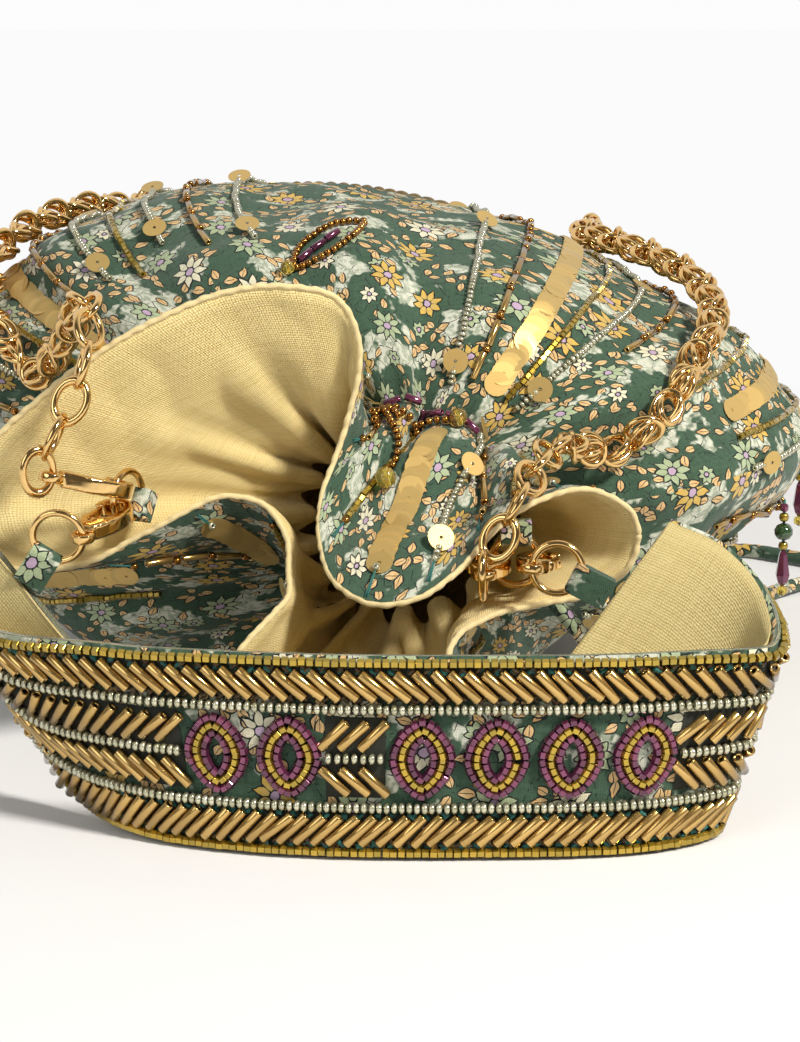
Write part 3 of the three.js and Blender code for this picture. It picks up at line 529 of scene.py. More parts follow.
# A plain weave of warp and weft, with uneven threads
def makeWeaveGroup():
    tree, given, put = newGroup(
        "plainWeave", [("Place", direction, None), ("Pitch", number, 0.6), ("Slub", number, 0.3)],
        [("Height", number), ("Thread", number)])
    place = given["Place"]
    split = addNode(tree, "ShaderNodeSeparateXYZ")
    tree.links.new(place, split.inputs[0])
    wobble = times(tree, noiseOf(tree, place, 0.35, 1.0), 0.7)
    x, y = (calc(tree, "DIVIDE", plus(tree, split.outputs[slot], wobble), given["Pitch"]) for slot in (0, 1))
    warp, weft = (calc(tree, "ABSOLUTE", calc(tree, "SINE", times(tree, way, math.pi))) for way in (x, y))
    parity = calc(tree, "MODULO", plus(tree, calc(tree, "FLOOR", x), calc(tree, "FLOOR", y)), 2.0)
    over = calc(tree, "ABSOLUTE", parity)
    warpHigh = times(tree, warp, plus(tree, times(tree, weft, 0.5), 0.5))
    weftHigh = times(tree, weft, plus(tree, times(tree, warp, 0.5), 0.5))
    height = plus(tree, times(tree, warpHigh, over), times(tree, weftHigh, minus(tree, 1.0, over)))
    lengthwise = noiseOf(tree, scaledVector(tree, place, (0.06, 1.3, 1.0)), 1.0, 1.0)
    crosswise = noiseOf(tree, scaledVector(tree, place, (1.3, 0.06, 1.0)), 1.0, 1.0)
    slub = minus(tree, plus(tree, lengthwise, crosswise), 1.0)
    tree.links.new(plus(tree, height, times(tree, slub, given["Slub"])), put["Height"])
    tree.links.new(plus(tree, 0.5, times(tree, slub, 1.6), clamp=True), put["Thread"])
    return tree


# Small flowers or leafy sprigs, one to a cell: masks for the drawing, a chance number, the way along a petal
def makeBloomGroup():
    tree, given, put = newGroup(
        "bloomPrint",
        [("Place", direction, None), ("Cell", number, 10.0), ("Petals", number, 8.0), ("Reach", number, 4.0),
         ("Start", number, 0.8), ("Width", number, 0.8), ("Eye", number, 1.0), ("Line", number, 0.2)],
        [(label, number) for label in ("Petal", "Outline", "Vein", "Middle", "Chance", "Along")])
    joined = addNode(tree, "ShaderNodeCombineXYZ")
    for slot in range(3):
        tree.links.new(given["Cell"], joined.inputs[slot])
    shrink = addNode(tree, "ShaderNodeVectorMath", operation="DIVIDE")
    tree.links.new(given["Place"], shrink.inputs[0])
    tree.links.new(joined.outputs[0], shrink.inputs[1])
    cells = addNode(tree, "ShaderNodeTexVoronoi", voronoi_dimensions="2D", feature="F1")
    setInputs(tree, cells, {"Vector": shrink.outputs[0], "Scale": 1.0, "Randomness": 0.7})
    local = addNode(tree, "ShaderNodeVectorMath", operation="SUBTRACT")
    tree.links.new(shrink.outputs[0], local.inputs[0])
    tree.links.new(cells.outputs["Position"], local.inputs[1])
    split = addNode(tree, "ShaderNodeSeparateXYZ")
    tree.links.new(local.outputs[0], split.inputs[0])
    tint = addNode(tree, "ShaderNodeSeparateColor")
    tree.links.new(cells.outputs["Color"], tint.inputs[0])
    # polar place round the cell's middle, folded into one petal
    x, y = (times(tree, split.outputs[slot], given["Cell"]) for slot in (0, 1))
    radius = calc(tree, "SQRT", plus(tree, times(tree, x, x), times(tree, y, y)))
    angle = plus(tree, calc(tree, "ARCTAN2", y, x), times(tree, tint.outputs[0], 6.283))
    turns = calc(tree, "FRACT", times(tree, angle, calc(tree, "DIVIDE", given["Petals"], 2 * math.pi)))
    bend = times(tree, minus(tree, turns, 0.5), calc(tree, "DIVIDE", 2 * math.pi, given["Petals"]))
    along = times(tree, radius, calc(tree, "COSINE", bend))
    aside = calc(tree, "ABSOLUTE", times(tree, radius, calc(tree, "SINE", bend)))
    reach = times(tree, given["Reach"], plus(tree, 0.84, times(tree, tint.outputs[1], 0.26)))
    start = given["Start"]
    share = calc(tree, "DIVIDE", minus(tree, along, start), minus(tree, reach, start), clamp=True)
    swell = calc(tree, "SINE", times(tree, calc(tree, "POWER", share, 0.8), math.pi))
    # how deep inside the petal's outline a place lies, and the lines drawn from that
    inside = minus(tree, times(tree, given["Width"], calc(tree, "POWER", swell, 1.25)), aside)
    petal = calc(tree, "GREATER_THAN", inside, 0.0)
    wide = calc(tree, "GREATER_THAN", inside, times(tree, given["Line"], -1.0))
    narrow = calc(tree, "GREATER_THAN", inside, times(tree, given["Line"], 0.35))
    near = calc(tree, "LESS_THAN", calc(tree, "ABSOLUTE", minus(tree, share, 0.5)), 0.499)
    rim = times(tree, near, minus(tree, wide, narrow))
    middle = calc(tree, "LESS_THAN", radius, given["Eye"])
    fromEye = calc(tree, "ABSOLUTE", minus(tree, radius, given["Eye"]))
    middleRim = calc(tree, "LESS_THAN", fromEye, times(tree, given["Line"], 0.6))
    short = times(tree, near, calc(tree, "LESS_THAN", share, 0.72))
    results = {
        "Petal": times(tree, petal, near),
        "Outline": calc(tree, "MAXIMUM", times(tree, rim, minus(tree, 1.0, middle)), middleRim),
        "Vein": times(tree, short, calc(tree, "LESS_THAN", aside, 0.07)),
        "Middle": middle,
        "Chance": tint.outputs[2],
        "Along": share,
    }
    for label, value in results.items():
        tree.links.new(value, put[label])
    return tree


# Fine dust and handling marks: a value that changes slowly over a surface, and fine scratches
def makeWearGroup():
    tree, given, put = newGroup("handlingWear", [("Place", direction, None), ("Size", number, 6.0)],
                                [("Patch", number), ("Scratch", number)])
    grow = addNode(tree, "ShaderNodeVectorMath", operation="SCALE")
    tree.links.new(given["Place"], grow.inputs[0])
    tree.links.new(calc(tree, "DIVIDE", 1.0, given["Size"]), grow.inputs["Scale"])
    tree.links.new(noiseOf(tree, grow.outputs[0], 1.0, 4.0, 0.6), put["Patch"])
    thin = noiseOf(tree, scaledVector(tree, given["Place"], (0.4, 4.0, 4.0)), 1.0, 2.0)
    tree.links.new(softMask(tree, thin, 0.58, 0.72), put["Scratch"])
    return tree


weaveGroup = makeWeaveGroup()
bloomGroup = makeBloomGroup()
wearGroup = makeWearGroup()


def newMaterial(name):
    material = bpy.data.materials.new(name)
    material.use_nodes = True
    tree = material.node_tree
    shader = tree.nodes["Principled BSDF"]
    return material, tree, shader


# Place on the cloth in millimetres, from the mesh's own map or from the piece's own space
def clothPlace(tree, mapped):
    if mapped:
        clothMap = addNode(tree, "ShaderNodeUVMap", uv_map="clothMap")
        return scaledVector(tree, clothMap.outputs[0], (1000, 1000, 1))
    place = scaledVector(tree, addNode(tree, "ShaderNodeTexCoord").outputs["Object"], (1000, 1000, 1000))
    split = addNode(tree, "ShaderNodeSeparateXYZ")
    tree.links.new(place, split.inputs[0])
    x, y, z = (split.outputs[slot] for slot in range(3))
    skewed = addNode(tree, "ShaderNodeCombineXYZ")
    tree.links.new(calc(tree, "MULTIPLY_ADD", y, 0.5, x), skewed.inputs[0])
    tree.links.new(calc(tree, "MULTIPLY_ADD", y, 0.6, z), skewed.inputs[1])
    tree.links.new(z, skewed.inputs[2])
    return skewed.outputs[0]


def addBump(tree, shader, height, strength, distance):
    bump = addNode(tree, "ShaderNodeBump")
    setInputs(tree, bump, {"Strength": strength, "Distance": distance, "Height": height})
    tree.links.new(bump.outputs[0], shader.inputs["Normal"])


printLook = {
    "ground": (0.053, 0.101, 0.059, 1), "groundDeep": (0.026, 0.058, 0.035, 1), "wash": (0.54, 0.55, 0.44, 1),
    "washShade": (0.28, 0.32, 0.23, 1), "line": (0.012, 0.017, 0.015, 1), "leaf": (0.55, 0.31, 0.11, 1),
    "leafPale": (0.68, 0.47, 0.23, 1), "yellow": (0.60, 0.36, 0.05, 1), "pale": (0.34, 0.41, 0.23, 1),
    "cream": (0.72, 0.66, 0.46, 1), "mauve": (0.42, 0.30, 0.41, 1), "daisyCell": 15.0, "daisyReach": 4.5,
    "leafCell": 6.8, "leafReach": 4.2,
}


def makePrintCloth(name, mapped):
    material, tree, shader = newMaterial(name)
    look = printLook
    place = clothPlace(tree, mapped)
    warp = addNode(tree, "ShaderNodeVectorMath", operation="ADD")
    feed(tree, warp.inputs[0], place)
    sway = noiseOf(tree, place, 0.5, 1.0, output=1)
    tree.links.new(scaledVector(tree, sway, (0.9, 0.9, 0)), warp.inputs[1])
    place = warp.outputs[0]
    weave = useGroup(tree, weaveGroup, Place=place, Pitch=0.42, Slub=0.25)
    fine = noiseOf(tree, place, 0.9, 2.0)
    stroke = noiseOf(tree, place, 0.6, 3.0, 0.6)
    wash = softMask(tree, noiseOf(tree, place, 0.095, 3.0, 0.6), 0.525, 0.57)
    base = blendColour(tree, fine, look["groundDeep"], look["ground"])
    washTint = blendColour(tree, softMask(tree, stroke, 0.4, 0.56), look["washShade"], look["wash"])
    base = blendColour(tree, wash, base, washTint)
    scroll = addNode(tree, "ShaderNodeTexVoronoi", voronoi_dimensions="2D", feature="DISTANCE_TO_EDGE")
    setInputs(tree, scroll, {"Vector": place, "Scale": 0.23})
    scrollLine = calc(tree, "LESS_THAN", scroll.outputs["Distance"], 0.022)
    scrollMask = times(tree, scrollLine, calc(tree, "GREATER_THAN", stroke, 0.5))
    base = blendColour(tree, scrollMask, base, look["line"])
    blooms = (
        # shift, cell, petals, reach, start, width, eye, how seldom
        (71.0, look["leafCell"], 2.0, look["leafReach"], 0.5, 0.82, 0.01, 0.52),
        (19.0, look["leafCell"] * 1.15, 3.0, look["leafReach"] * 1.05, 0.8, 0.92, 0.01, 0.42),
        (37.0, look["daisyCell"] * 0.85, 7.0, 2.7, 0.4, 0.62, 0.6, 0.5),
        (0.0, look["daisyCell"], 8.0, look["daisyReach"], 0.8, 0.86, 1.05, 0.1),
    )
    for shift, cell, petals, reach, begin, width, eye, seldom in blooms:
        moved = addNode(tree, "ShaderNodeVectorMath", operation="ADD")
        feed(tree, moved.inputs[0], place)
        moved.inputs[1].default_value = (shift, shift * 0.7, 0)
        bloom = useGroup(tree, bloomGroup, Place=moved.outputs[0], Cell=cell, Petals=petals, Reach=reach,
                         Start=begin, Width=width, Eye=eye, Line=0.26)
        here = calc(tree, "GREATER_THAN", bloom["Chance"], seldom)
        isLeaf = petals < 4
        if isLeaf:
            tint = blendColour(tree, bloom["Along"], look["leafPale"], look["leaf"])
            tint = blendColour(tree, bloom["Vein"], tint, look["line"])
        else:
            isPale = calc(tree, "GREATER_THAN", bloom["Chance"], 0.5)
            isCream = calc(tree, "GREATER_THAN", bloom["Chance"], 0.86)
            tint = blendColour(tree, isPale, look["yellow"], look["pale"])
            tint = blendColour(tree, isCream, tint, look["cream"])
            shade = times(tree, minus(tree, 1.0, bloom["Along"], clamp=True), 0.35)
            tint = blendColour(tree, shade, tint, look["washShade"])
        base = blendColour(tree, times(tree, bloom["Petal"], here), base, tint)
        if not isLeaf:
            base = blendColour(tree, times(tree, bloom["Middle"], here), base, look["mauve"])
        base = blendColour(tree, times(tree, bloom["Outline"], here), base, look["line"])
    base = blendColour(tree, times(tree, weave["Thread"], 0.3), base, (1, 1, 1, 1), "SOFT_LIGHT")
    setInputs(tree, shader, {"Base Color": base, "Roughness": 0.85, "Specular IOR Level": 0.25,
                             "Sheen Weight": 0.15, "Sheen Roughness": 0.5})
    addBump(tree, shader, weave["Height"], 0.5, 0.00012)
    return material


def makeLinen(name, light, dark):
    material, tree, shader = newMaterial(name)
    place = clothPlace(tree, True)
    weave = useGroup(tree, weaveGroup, Place=place, Pitch=0.56, Slub=0.55)
    wear = useGroup(tree, wearGroup, Place=place, Size=18.0)
    # Painted shade: the weave's low places take the dark colour and its raised threads the light one; the
    # slow patches towards the dark colour are handling wear
    base = blendColour(tree, weave["Height"], dark, light)
    base = blendColour(tree, times(tree, weave["Thread"], 0.5), base, light)
    base = blendColour(tree, times(tree, wear["Patch"], 0.25), base, dark)
    setInputs(tree, shader, {"Base Color": base, "Roughness": 0.88, "Specular IOR Level": 0.2,
                             "Sheen Weight": 0.12})
    addBump(tree, shader, weave["Height"], 0.7, 0.0002)
    return material


# Beads and foil: a colour that varies from bead to bead by the mesh's tone value, with painted shade that
# darkens it towards a rim colour where it turns away from the camera
def makeBeadFinish(name, first, second, rim, metallic, roughness, coat,
                   edgeShadeShare=0.9, facing=0.45, through=0.0):
    material, tree, shader = newMaterial(name)
    tone = addNode(tree, "ShaderNodeAttribute", attribute_name="tone").outputs["Fac"]
    wear = useGroup(tree, wearGroup, Place=clothPlace(tree, False), Size=1.2)
    base = blendColour(tree, tone, first, second)
    base = blendColour(tree, times(tree, wear["Patch"], 0.25), base, second)
    turned = addNode(tree, "ShaderNodeLayerWeight")
    turned.inputs["Blend"].default_value = facing
    # Painted shade: the rim colour darkens the edges that turn away from the camera
    base = blendColour(tree, times(tree, turned.outputs["Facing"], edgeShadeShare), base, rim)
    rough = plus(tree, roughness - 0.06, times(tree, wear["Patch"], 0.14))
    setInputs(tree, shader, {"Base Color": base, "Roughness": rough, "Metallic": metallic,
                             "Coat Weight": coat, "Coat Roughness": 0.06, "Transmission Weight": through})
    return material


def makeGoldMetal(name):
    material, tree, shader = newMaterial(name)
    wear = useGroup(tree, wearGroup, Place=clothPlace(tree, False), Size=3.0)
    base = blendColour(tree, wear["Patch"], (0.82, 0.51, 0.18, 1), (0.97, 0.67, 0.29, 1))
    # Painted shade: the plating darkens to brown where it turns away from the camera
    turned = addNode(tree, "ShaderNodeLayerWeight")
    turned.inputs["Blend"].default_value = 0.35
    base = blendColour(tree, times(tree, turned.outputs["Facing"], 0.6), base, (0.40, 0.20, 0.045, 1))
    rough = plus(tree, 0.12, times(tree, wear["Scratch"], 0.12))
    setInputs(tree, shader, {"Base Color": base, "Roughness": rough, "Metallic": 1.0})
    return material


def makeThread(name, first, second, roughness, sheen=0.2):
    material, tree, shader = newMaterial(name)
    strands = noiseOf(tree, scaledVector(tree, clothPlace(tree, False), (3.0, 3.0, 3.0)), 1.0, 3.0)
    base = blendColour(tree, strands, first, second)
    setInputs(tree, shader, {"Base Color": base, "Roughness": roughness, "Sheen Weight": sheen})
    addBump(tree, shader, strands, 0.4, 0.0001)
    return material


printMapped = makePrintCloth("floralCotton", True)
printOwnSpace = makePrintCloth("floralCottonTrim", False)
# Each linen: the colour of its raised threads, then the darker colour of the painted shade in the weave's
# lows and of handling wear
linenMapped = makeLinen("creamLinen", (0.87, 0.72, 0.35, 1), (0.64, 0.47, 0.17, 1))
strapLinen = makeLinen("strapLinen", (0.64, 0.53, 0.25, 1), (0.46, 0.36, 0.14, 1))
hemLinen = makeThread("hemLinen", (0.82, 0.69, 0.38, 1), (0.60, 0.45, 0.19, 1), 0.9)
pipingThread = makeThread("pipingThread", (0.07, 0.045, 0.018, 1), (0.26, 0.17, 0.06, 1), 0.45, 0.0)
tealThread = makeThread("tealThread", (0.0, 0.07, 0.06, 1), (0.01, 0.17, 0.14, 1), 0.6)
brownThread = makeThread("brownThread", (0.05, 0.03, 0.012, 1), (0.11, 0.065, 0.024, 1), 0.5, 0.0)
threadBed = makeThread("threadBed", (0.003, 0.020, 0.016, 1), (0.034, 0.020, 0.008, 1), 0.8, 0.0)
goldMetal = makeGoldMetal("goldPlating")
# Bead finishes: two tones that vary from bead to bead, then the colour of the painted edge shade
goldBeads = makeBeadFinish(
    "goldCutBeads", (0.66, 0.44, 0.05, 1), (0.42, 0.30, 0.04, 1), (0.09, 0.06, 0.01, 1),
    metallic=0.8, roughness=0.22, coat=0.6)
bugleBeads = makeBeadFinish(
    "bronzeBugles", (0.86, 0.56, 0.18, 1), (0.59, 0.38, 0.12, 1), (0.075, 0.038, 0.008, 1),
    metallic=0.85, roughness=0.19, coat=0.5, edgeShadeShare=1.0, facing=0.55)
bronzeBeads = makeBeadFinish(
    "bronzeRounds", (0.55, 0.25, 0.04, 1), (0.36, 0.15, 0.02, 1), (0.07, 0.025, 0.004, 1),
    metallic=0.9, roughness=0.18, coat=0.4)
clearBeads = makeBeadFinish(
    "silverLinedBeads", (0.86, 0.83, 0.62, 1), (0.52, 0.50, 0.32, 1), (0.09, 0.09, 0.035, 1),
    metallic=0.65, roughness=0.13, coat=1.0, edgeShadeShare=1.0, facing=0.62)
purpleBeads = makeBeadFinish(
    "plumBeads", (0.28, 0.06, 0.14, 1), (0.10, 0.02, 0.055, 1), (0.028, 0.004, 0.016, 1),
    metallic=0.6, roughness=0.14, coat=1.0, edgeShadeShare=1.0, facing=0.5)
sequinFoil = makeBeadFinish(
    "goldSequins", (0.74, 0.50, 0.17, 1), (0.60, 0.42, 0.15, 1), (0.22, 0.17, 0.06, 1),
    metallic=0.72, roughness=0.45, coat=0.0, edgeShadeShare=0.5, facing=0.3)
greenBeads = makeBeadFinish(
    "greenBeads", (0.02, 0.06, 0.02, 1), (0.04, 0.10, 0.03, 1), (0.004, 0.012, 0.004, 1),
    metallic=0.2, roughness=0.12, coat=1.0)
yellowBeads = makeBeadFinish(
    "yellowGlassBeads", (0.95, 0.80, 0.20, 1), (0.90, 0.68, 0.10, 1), (0.50, 0.30, 0.02, 1),
    metallic=0.0, roughness=0.07, coat=0.0, edgeShadeShare=0.8, facing=0.5, through=0.85)
print("materials ready")


# Rolled cloth drawcords that leave the neck, lie on the floor and end in one knot
drawcord = {
    "radius": 1.75,
    "knotRadius": 3.6,
    "knotAt": (123, 226),
    "knotScale": (0.72, 0.72, 0.576),
    "knotStrand": 1.35,
    "exitOut": 4.7,
    "exitFront": 2.7,
    "seam": 0.06,
    "seamEvery": 3.2,
    "long": {"angle": 334, "route": [
        (31, 73, 31), (38, 76, 22), (45, 82, 12), (51, 92, 4.5), (56, 105, 2.3), (61, 125, 1.95),
        (65, 150, 1.95), (68, 180, 1.95), (71, 210, 1.95), (76, 234, 1.95), (84, 247, 1.95), (94, 248, 1.95),
        (104, 241, 1.95), (113, 233, 1.95)]},
    "short": {"angle": 343, "route": [
        (36, 71, 36), (44, 72, 27), (52, 78, 16), (60, 88, 6.5), (66, 102, 2.5), (71, 122, 1.95),
        (76, 145, 1.95), (81, 168, 1.95), (88, 188, 1.95), (98, 203, 1.95), (109, 214, 1.95)]},
}


def cordPath(settings):
    angle = math.radians(settings["angle"])
    u = placeOfAngle(settings["angle"])
    out = np.array([math.cos(angle), 0, math.sin(angle)])
    start = clothPoints(u, 0.0) + out * drawcord["exitOut"] + np.array([0, -drawcord["exitFront"], 0])
    route = [start] + [np.array(p, float) for p in settings["route"]]
    knot = np.array([*drawcord["knotAt"], route[-1][2]], float)
    way = unit(route[-1] - knot)
    route.append(knot + way * (drawcord["knotRadius"] + 0.35))
    places, length = lengthPlaces(route, False, np.linspace(0, 1, 221))
    return curvePoints(route, places, False), length


def buildCords():
    t = np.arange(90) / 90 * 2 * math.pi
    x, y = np.sin(t) + 2 * np.sin(2 * t), np.cos(t) - 2 * np.cos(2 * t)
    trefoil = np.stack([x, y, -1.1 * np.sin(3 * t)], 1) * drawcord["knotScale"]
    knotPoints, knotFaces = tubeAlong(trefoil, drawcord["knotStrand"], 10, closed=True)
    low = knotPoints[:, 2].min()
    knotPoints = knotPoints + np.array([*drawcord["knotAt"], -low + 0.1])
    knot = addPiece("tiedKnot", knotPoints, knotFaces, printOwnSpace, ["drawcord_knot"])
    for label in ("long", "short"):
        path, length = cordPath(drawcord[label])
        turns = np.linspace(0, length / drawcord["seamEvery"], len(path))
        radius = drawcord["radius"] + drawcord["seam"] * np.sin(turns * 2 * math.pi)
        points, faces = tubeAlong(path, radius, 14)
        piece = addPiece("drawcord" + label.capitalize(), points, faces, printOwnSpace,
                         ["drawcord_" + label])
        print("drawcord", label, round(length, 1), "mm")


buildCords()


# Map of a tube's face corners in metres: even round the bag, and down by the rows' own and mean lengths
def tubeUv(points, places):
    columns = points.shape[1]
    steps = np.linalg.norm(np.diff(points, axis=0), axis=2)
    down = np.concatenate([np.zeros((1, columns)), np.cumsum(steps, axis=0)])
    down = down.mean(axis=1)[:, None] * 0.5 + down * 0.5
    r, c = places[..., 0], places[..., 1]
    return np.stack([c / columns * edgeLength, down[r, c % columns]], -1) / 1000


# Printed outer cloth: the ruffle and the pouch, one tube in two pieces that meet at the neck, and the lining
def buildPouchCloth():
    columns = pouch["columns"]
    edgeRows = np.linspace(-1, 0, pouch["ruffleRows"])
    bodyRows = np.concatenate([np.linspace(0, 0.16, 22)[:-1], np.linspace(0.16, 1, pouch["bodyRows"])])
    for name, rows in (("printedRuffle", edgeRows), ("printedPouch", bodyRows)):
        points, _ = clothGrid(rows, columns, pouch["clothThickness"])
        faces, places = gridFaces(len(rows), columns, closed=True)
        addPiece(name, points.reshape(-1, 3), faces[:, ::-1], printMapped, ["outer_shell"],
                 tubeUv(points, places)[:, ::-1])
    rows = np.concatenate([edgeRows, np.linspace(0, 0.857, 60)[1:]])
    points, normals = clothGrid(rows, columns, -pouch["layerGap"] - 0.25)
    turnUp = pouch["liningTurn"] * (1 - smoothStep(-1, -0.975, rows))    # its edge rises into the hem
    points = points + normals * turnUp[:, None, None]
    centre = points[-1].mean(axis=0)
    rings = [points]
    for share in (0.75, 0.5, 0.25, 0.02):
        rings.append((centre + (points[-1] - centre) * share)[None])
    whole = np.concatenate(rings)
    faces, places = gridFaces(len(whole), columns, closed=True)
    addPiece("linenLining", whole.reshape(-1, 3), faces, linenMapped, ["lining"],
             tubeUv(whole, places))


buildPouchCloth()
print("pouch cloth made")

# Mouth hem: a rolled cream edge that joins the outer cloth to the lining
hem = {"steps": 1400, "radius": 0.62, "uneven": 0.06, "overhang": 0.1, "wander": 0.12, "lowest": 0.95}


def buildHem():
    u = np.arange(hem["steps"]) / hem["steps"]
    at, normals = layAt(u, np.full_like(u, -1.0))
    inner, _ = layAt(u, np.full_like(u, -0.97))
    path = at - normals * (pouch["clothThickness"] * 0.62)
    overhang = hem["overhang"] + hem["wander"] * np.sin(u * edgeLength * 1.7)
    path = path + unit(at - inner) * overhang[:, None]
    path[:, 2] = np.maximum(path[:, 2], hem["lowest"])
    radius = hem["radius"] + hem["uneven"] * np.sin(u * edgeLength * 2.3)
    points, faces = tubeAlong(path, radius, 8, closed=True)
    addPiece("mouthHem", points, faces, hemLinen)


buildHem()

# Twisted piping round the base rim: two plies about one line
piping = {"steps": 1200, "radius": 1.6, "gap": 1.1, "ply": 0.92, "plyOut": 0.72, "turnEvery": 5.2}


def buildPiping():
    count = piping["steps"]
    rim, _ = layAt(np.arange(count) / count, np.ones(count))
    across = rim - rim.mean(axis=0)
    across[:, 1] = 0
    across = unit(across)
    path = rim + across * (piping["gap"] + piping["radius"] * 0.4)
    path[:, 2] = np.maximum(path[:, 2], piping["radius"] + 0.2)
    length = np.linalg.norm(np.diff(path, axis=0, append=path[:1]), axis=1).sum()
    turns = round(length / piping["turnEvery"])
    phase = np.arange(count) / count * turns * 2 * math.pi
    parts = []
    for ply in range(2):
        a = (phase + ply * math.pi)[:, None]
        strand = path + (across * np.cos(a) + np.array([0, 1.0, 0]) * np.sin(a)) * piping["plyOut"]
        points, faces = tubeAlong(strand, piping["ply"], 7, closed=True, up=(0, 1, 0))
        parts.append((points, faces, np.zeros(len(points))))
    addJoined("twistedPiping", parts, pipingThread, ["base_piping"])


# Base panel inside the piping: puckered at its seam, a little slack further in
basePanel = {"columns": 288, "rings": 26, "setBack": 0.6, "pucker": 0.5, "puckers": 44, "slack": 0.8}


def buildBasePanel():
    columns = basePanel["columns"]
    u = np.arange(columns) / columns
    rim, _ = layAt(u, np.ones(columns))
    middle = rim.mean(axis=0)
    shares = np.concatenate([[1.0, 0.985], np.linspace(0.96, 0.02, basePanel["rings"])])
    rings = []
    for share in shares:
        ring = middle + (rim - middle) * share
        slack = basePanel["slack"] * spaceWaves(ring, 34, 9) * (1 - share)
        ring[:, 1] = middle[1] + slack
        if share < 1:
            fade = math.exp(-(1 - share) * 26)
            pucker = basePanel["pucker"] * np.cos(2 * math.pi * basePanel["puckers"] * u) * fade
            ring[:, 1] += basePanel["setBack"] + pucker
        rings.append(ring)
    grid = np.stack(rings)
    faces, places = gridFaces(len(rings), columns, closed=True)
    flat = grid[places[..., 0], places[..., 1] % columns]
    addPiece("basePanelCloth", grid.reshape(-1, 3), faces, printMapped, ["base_panel"],
             flat[..., [0, 2]] / 1000)


buildPiping()
buildBasePanel()
print("base made")


# Bead strands on the cloth: kind, neck angle, from and to along the cloth, and the CAD node that it replaces
beadSizes = {
    "cut": 0.72, "cutLength": 1.25, "cutPitch": 1.4, "seed": 0.78, "seedLength": 1.0, "seedPitch": 1.14,
    "bugle": 0.74, "bugleLength": 6.0, "round": 0.9, "sequin": 2.6, "sequinPitch": 1.25, "lift": 0.1,
}
bodyStrands = [
    ("sequin", 21, 0.3, 0.94, "body_sequin_strand_1"), ("gold", 30, 0.24, 0.97, "body_gold_strand_1"),
    ("bugle", 45, 0.24, 0.8, "body_bugle_strand_1"), ("clear", 51, 0.08, 0.9, "body_clear_strand_1"),
    ("gold", 56, 0.08, 0.9, "body_gold_strand_2"), ("sequin", 61.5, 0.08, 0.94, "body_sequin_strand_2"),
    ("bugle", 68, 0.06, 0.97, "body_bugle_strand_2"), ("clear", 74, 0.06, 0.94, "body_clear_strand_2"),
    ("bugle", 114, 0.3, 0.97, "body_bugle_strand_3"), ("gold", 125.5, 0.3, 0.97, "body_gold_strand_3"),
    ("clear", 131, 0.3, 0.94, "body_clear_strand_3"),
    ("clear", 107.5, 0.3, 0.96, None), ("clear", 120, 0.34, 0.97, None), ("bugle", 137, 0.26, 0.95, None),
    ("sequin", 143, 0.24, 0.94, None), ("gold", 149, 0.2, 0.96, None), ("clear", 157, 0.16, 0.95, None),
    ("bugle", 165, 0.16, 0.96, None), ("sequin", 173, 0.16, 0.95, None), ("gold", 181, 0.16, 0.96, None),
    ("clear", 189, 0.16, 0.95, None), ("bugle", 197, 0.16, 0.95, None), ("sequin", 205, 0.16, 0.9, None),
    ("gold", 213, 0.16, 0.85, None), ("clear", 322, 0.2, 0.85, None), ("sequin", 331, 0.2, 0.9, None),
    ("gold", 340, 0.24, 0.93, None), ("bugle", 348, 0.26, 0.95, None), ("clear", 3, 0.28, 0.95, None),
    ("gold", 12, 0.28, 0.96, None),
]
ruffleStrands = [
    ("bugle", 44, -0.85, -0.2, "ruffle_bugle_strand_1"), ("clear", 58, -0.9, -0.15, "ruffle_clear_strand_1"),
    ("sequin", 71, -0.92, -0.42, "ruffle_sequin_strand_1"),
    ("sequin", 202, -0.9, -0.55, "ruffle_sequin_strand_2"),
    ("gold", 14, -0.88, -0.2, None), ("clear", 24, -0.9, -0.2, None), ("gold", 34, -0.86, -0.18, None),
    ("gold", 84, -0.88, -0.3, None), ("bugle", 101, -0.86, -0.25, None), ("clear", 110, -0.9, -0.2, None),
    ("sequin", 121, -0.9, -0.3, None), ("gold", 131, -0.88, -0.2, None), ("bugle", 141, -0.86, -0.2, None),
    ("clear", 151, -0.9, -0.2, None), ("sequin", 161, -0.9, -0.3, None), ("gold", 171, -0.88, -0.2, None),
    ("clear", 181, -0.9, -0.25, None), ("bugle", 191, -0.88, -0.25, None), ("gold", 213, -0.9, -0.25, None),
    ("clear", 223, -0.9, -0.25, None), ("bugle", 232, -0.86, -0.2, None), ("gold", 243, -0.8, -0.2, None),
    ("gold", 300, -0.85, -0.25, None), ("clear", 310, -0.9, -0.25, None), ("bugle", 320, -0.86, -0.2, None),
    ("sequin", 331, -0.9, -0.3, None), ("gold", 343, -0.88, -0.2, None), ("clear", 354, -0.9, -0.2, None),
]


# A strand's line over the cloth, and the cloth's normals along it
def strandLine(angle, start, end):
    v = np.linspace(start, end, 420)
    wander = 0.0012 * np.sin(v * 9 + angle)
    return layAt(placeOfAngle(angle) + wander, v)


# Places for beads at equal steps along a line, with the ways out and along, where they clear the floor
def seatsOnLine(line, normals, pitch, radius, start=0.0):
    index = stepsAlong(line, pitch, start)
    at = pick(line, index)
    out = unit(pick(normals, index))
    along = unit(pick(np.gradient(line, axis=0), index))
    keep = at[:, 2] > radius + 0.3
    return at[keep], out[keep], along[keep]


# Beads of one template at steps along a line
def beadsOnLine(line, normals, template, pitch, lift, jitter=0.05, start=0.0):
    at, out, along = seatsOnLine(line, normals, pitch, lift, start)
    if not len(at):
        return None
    at = at + out * lift + rng.normal(0, jitter, at.shape)
    frames = framesAlong(along + rng.normal(0, 0.05, at.shape), out)
    points, faces = spreadCopies(template, at, frames)
    tone = np.repeat(rng.uniform(0, 1, len(at)), len(template[0]))
    return points, faces, tone


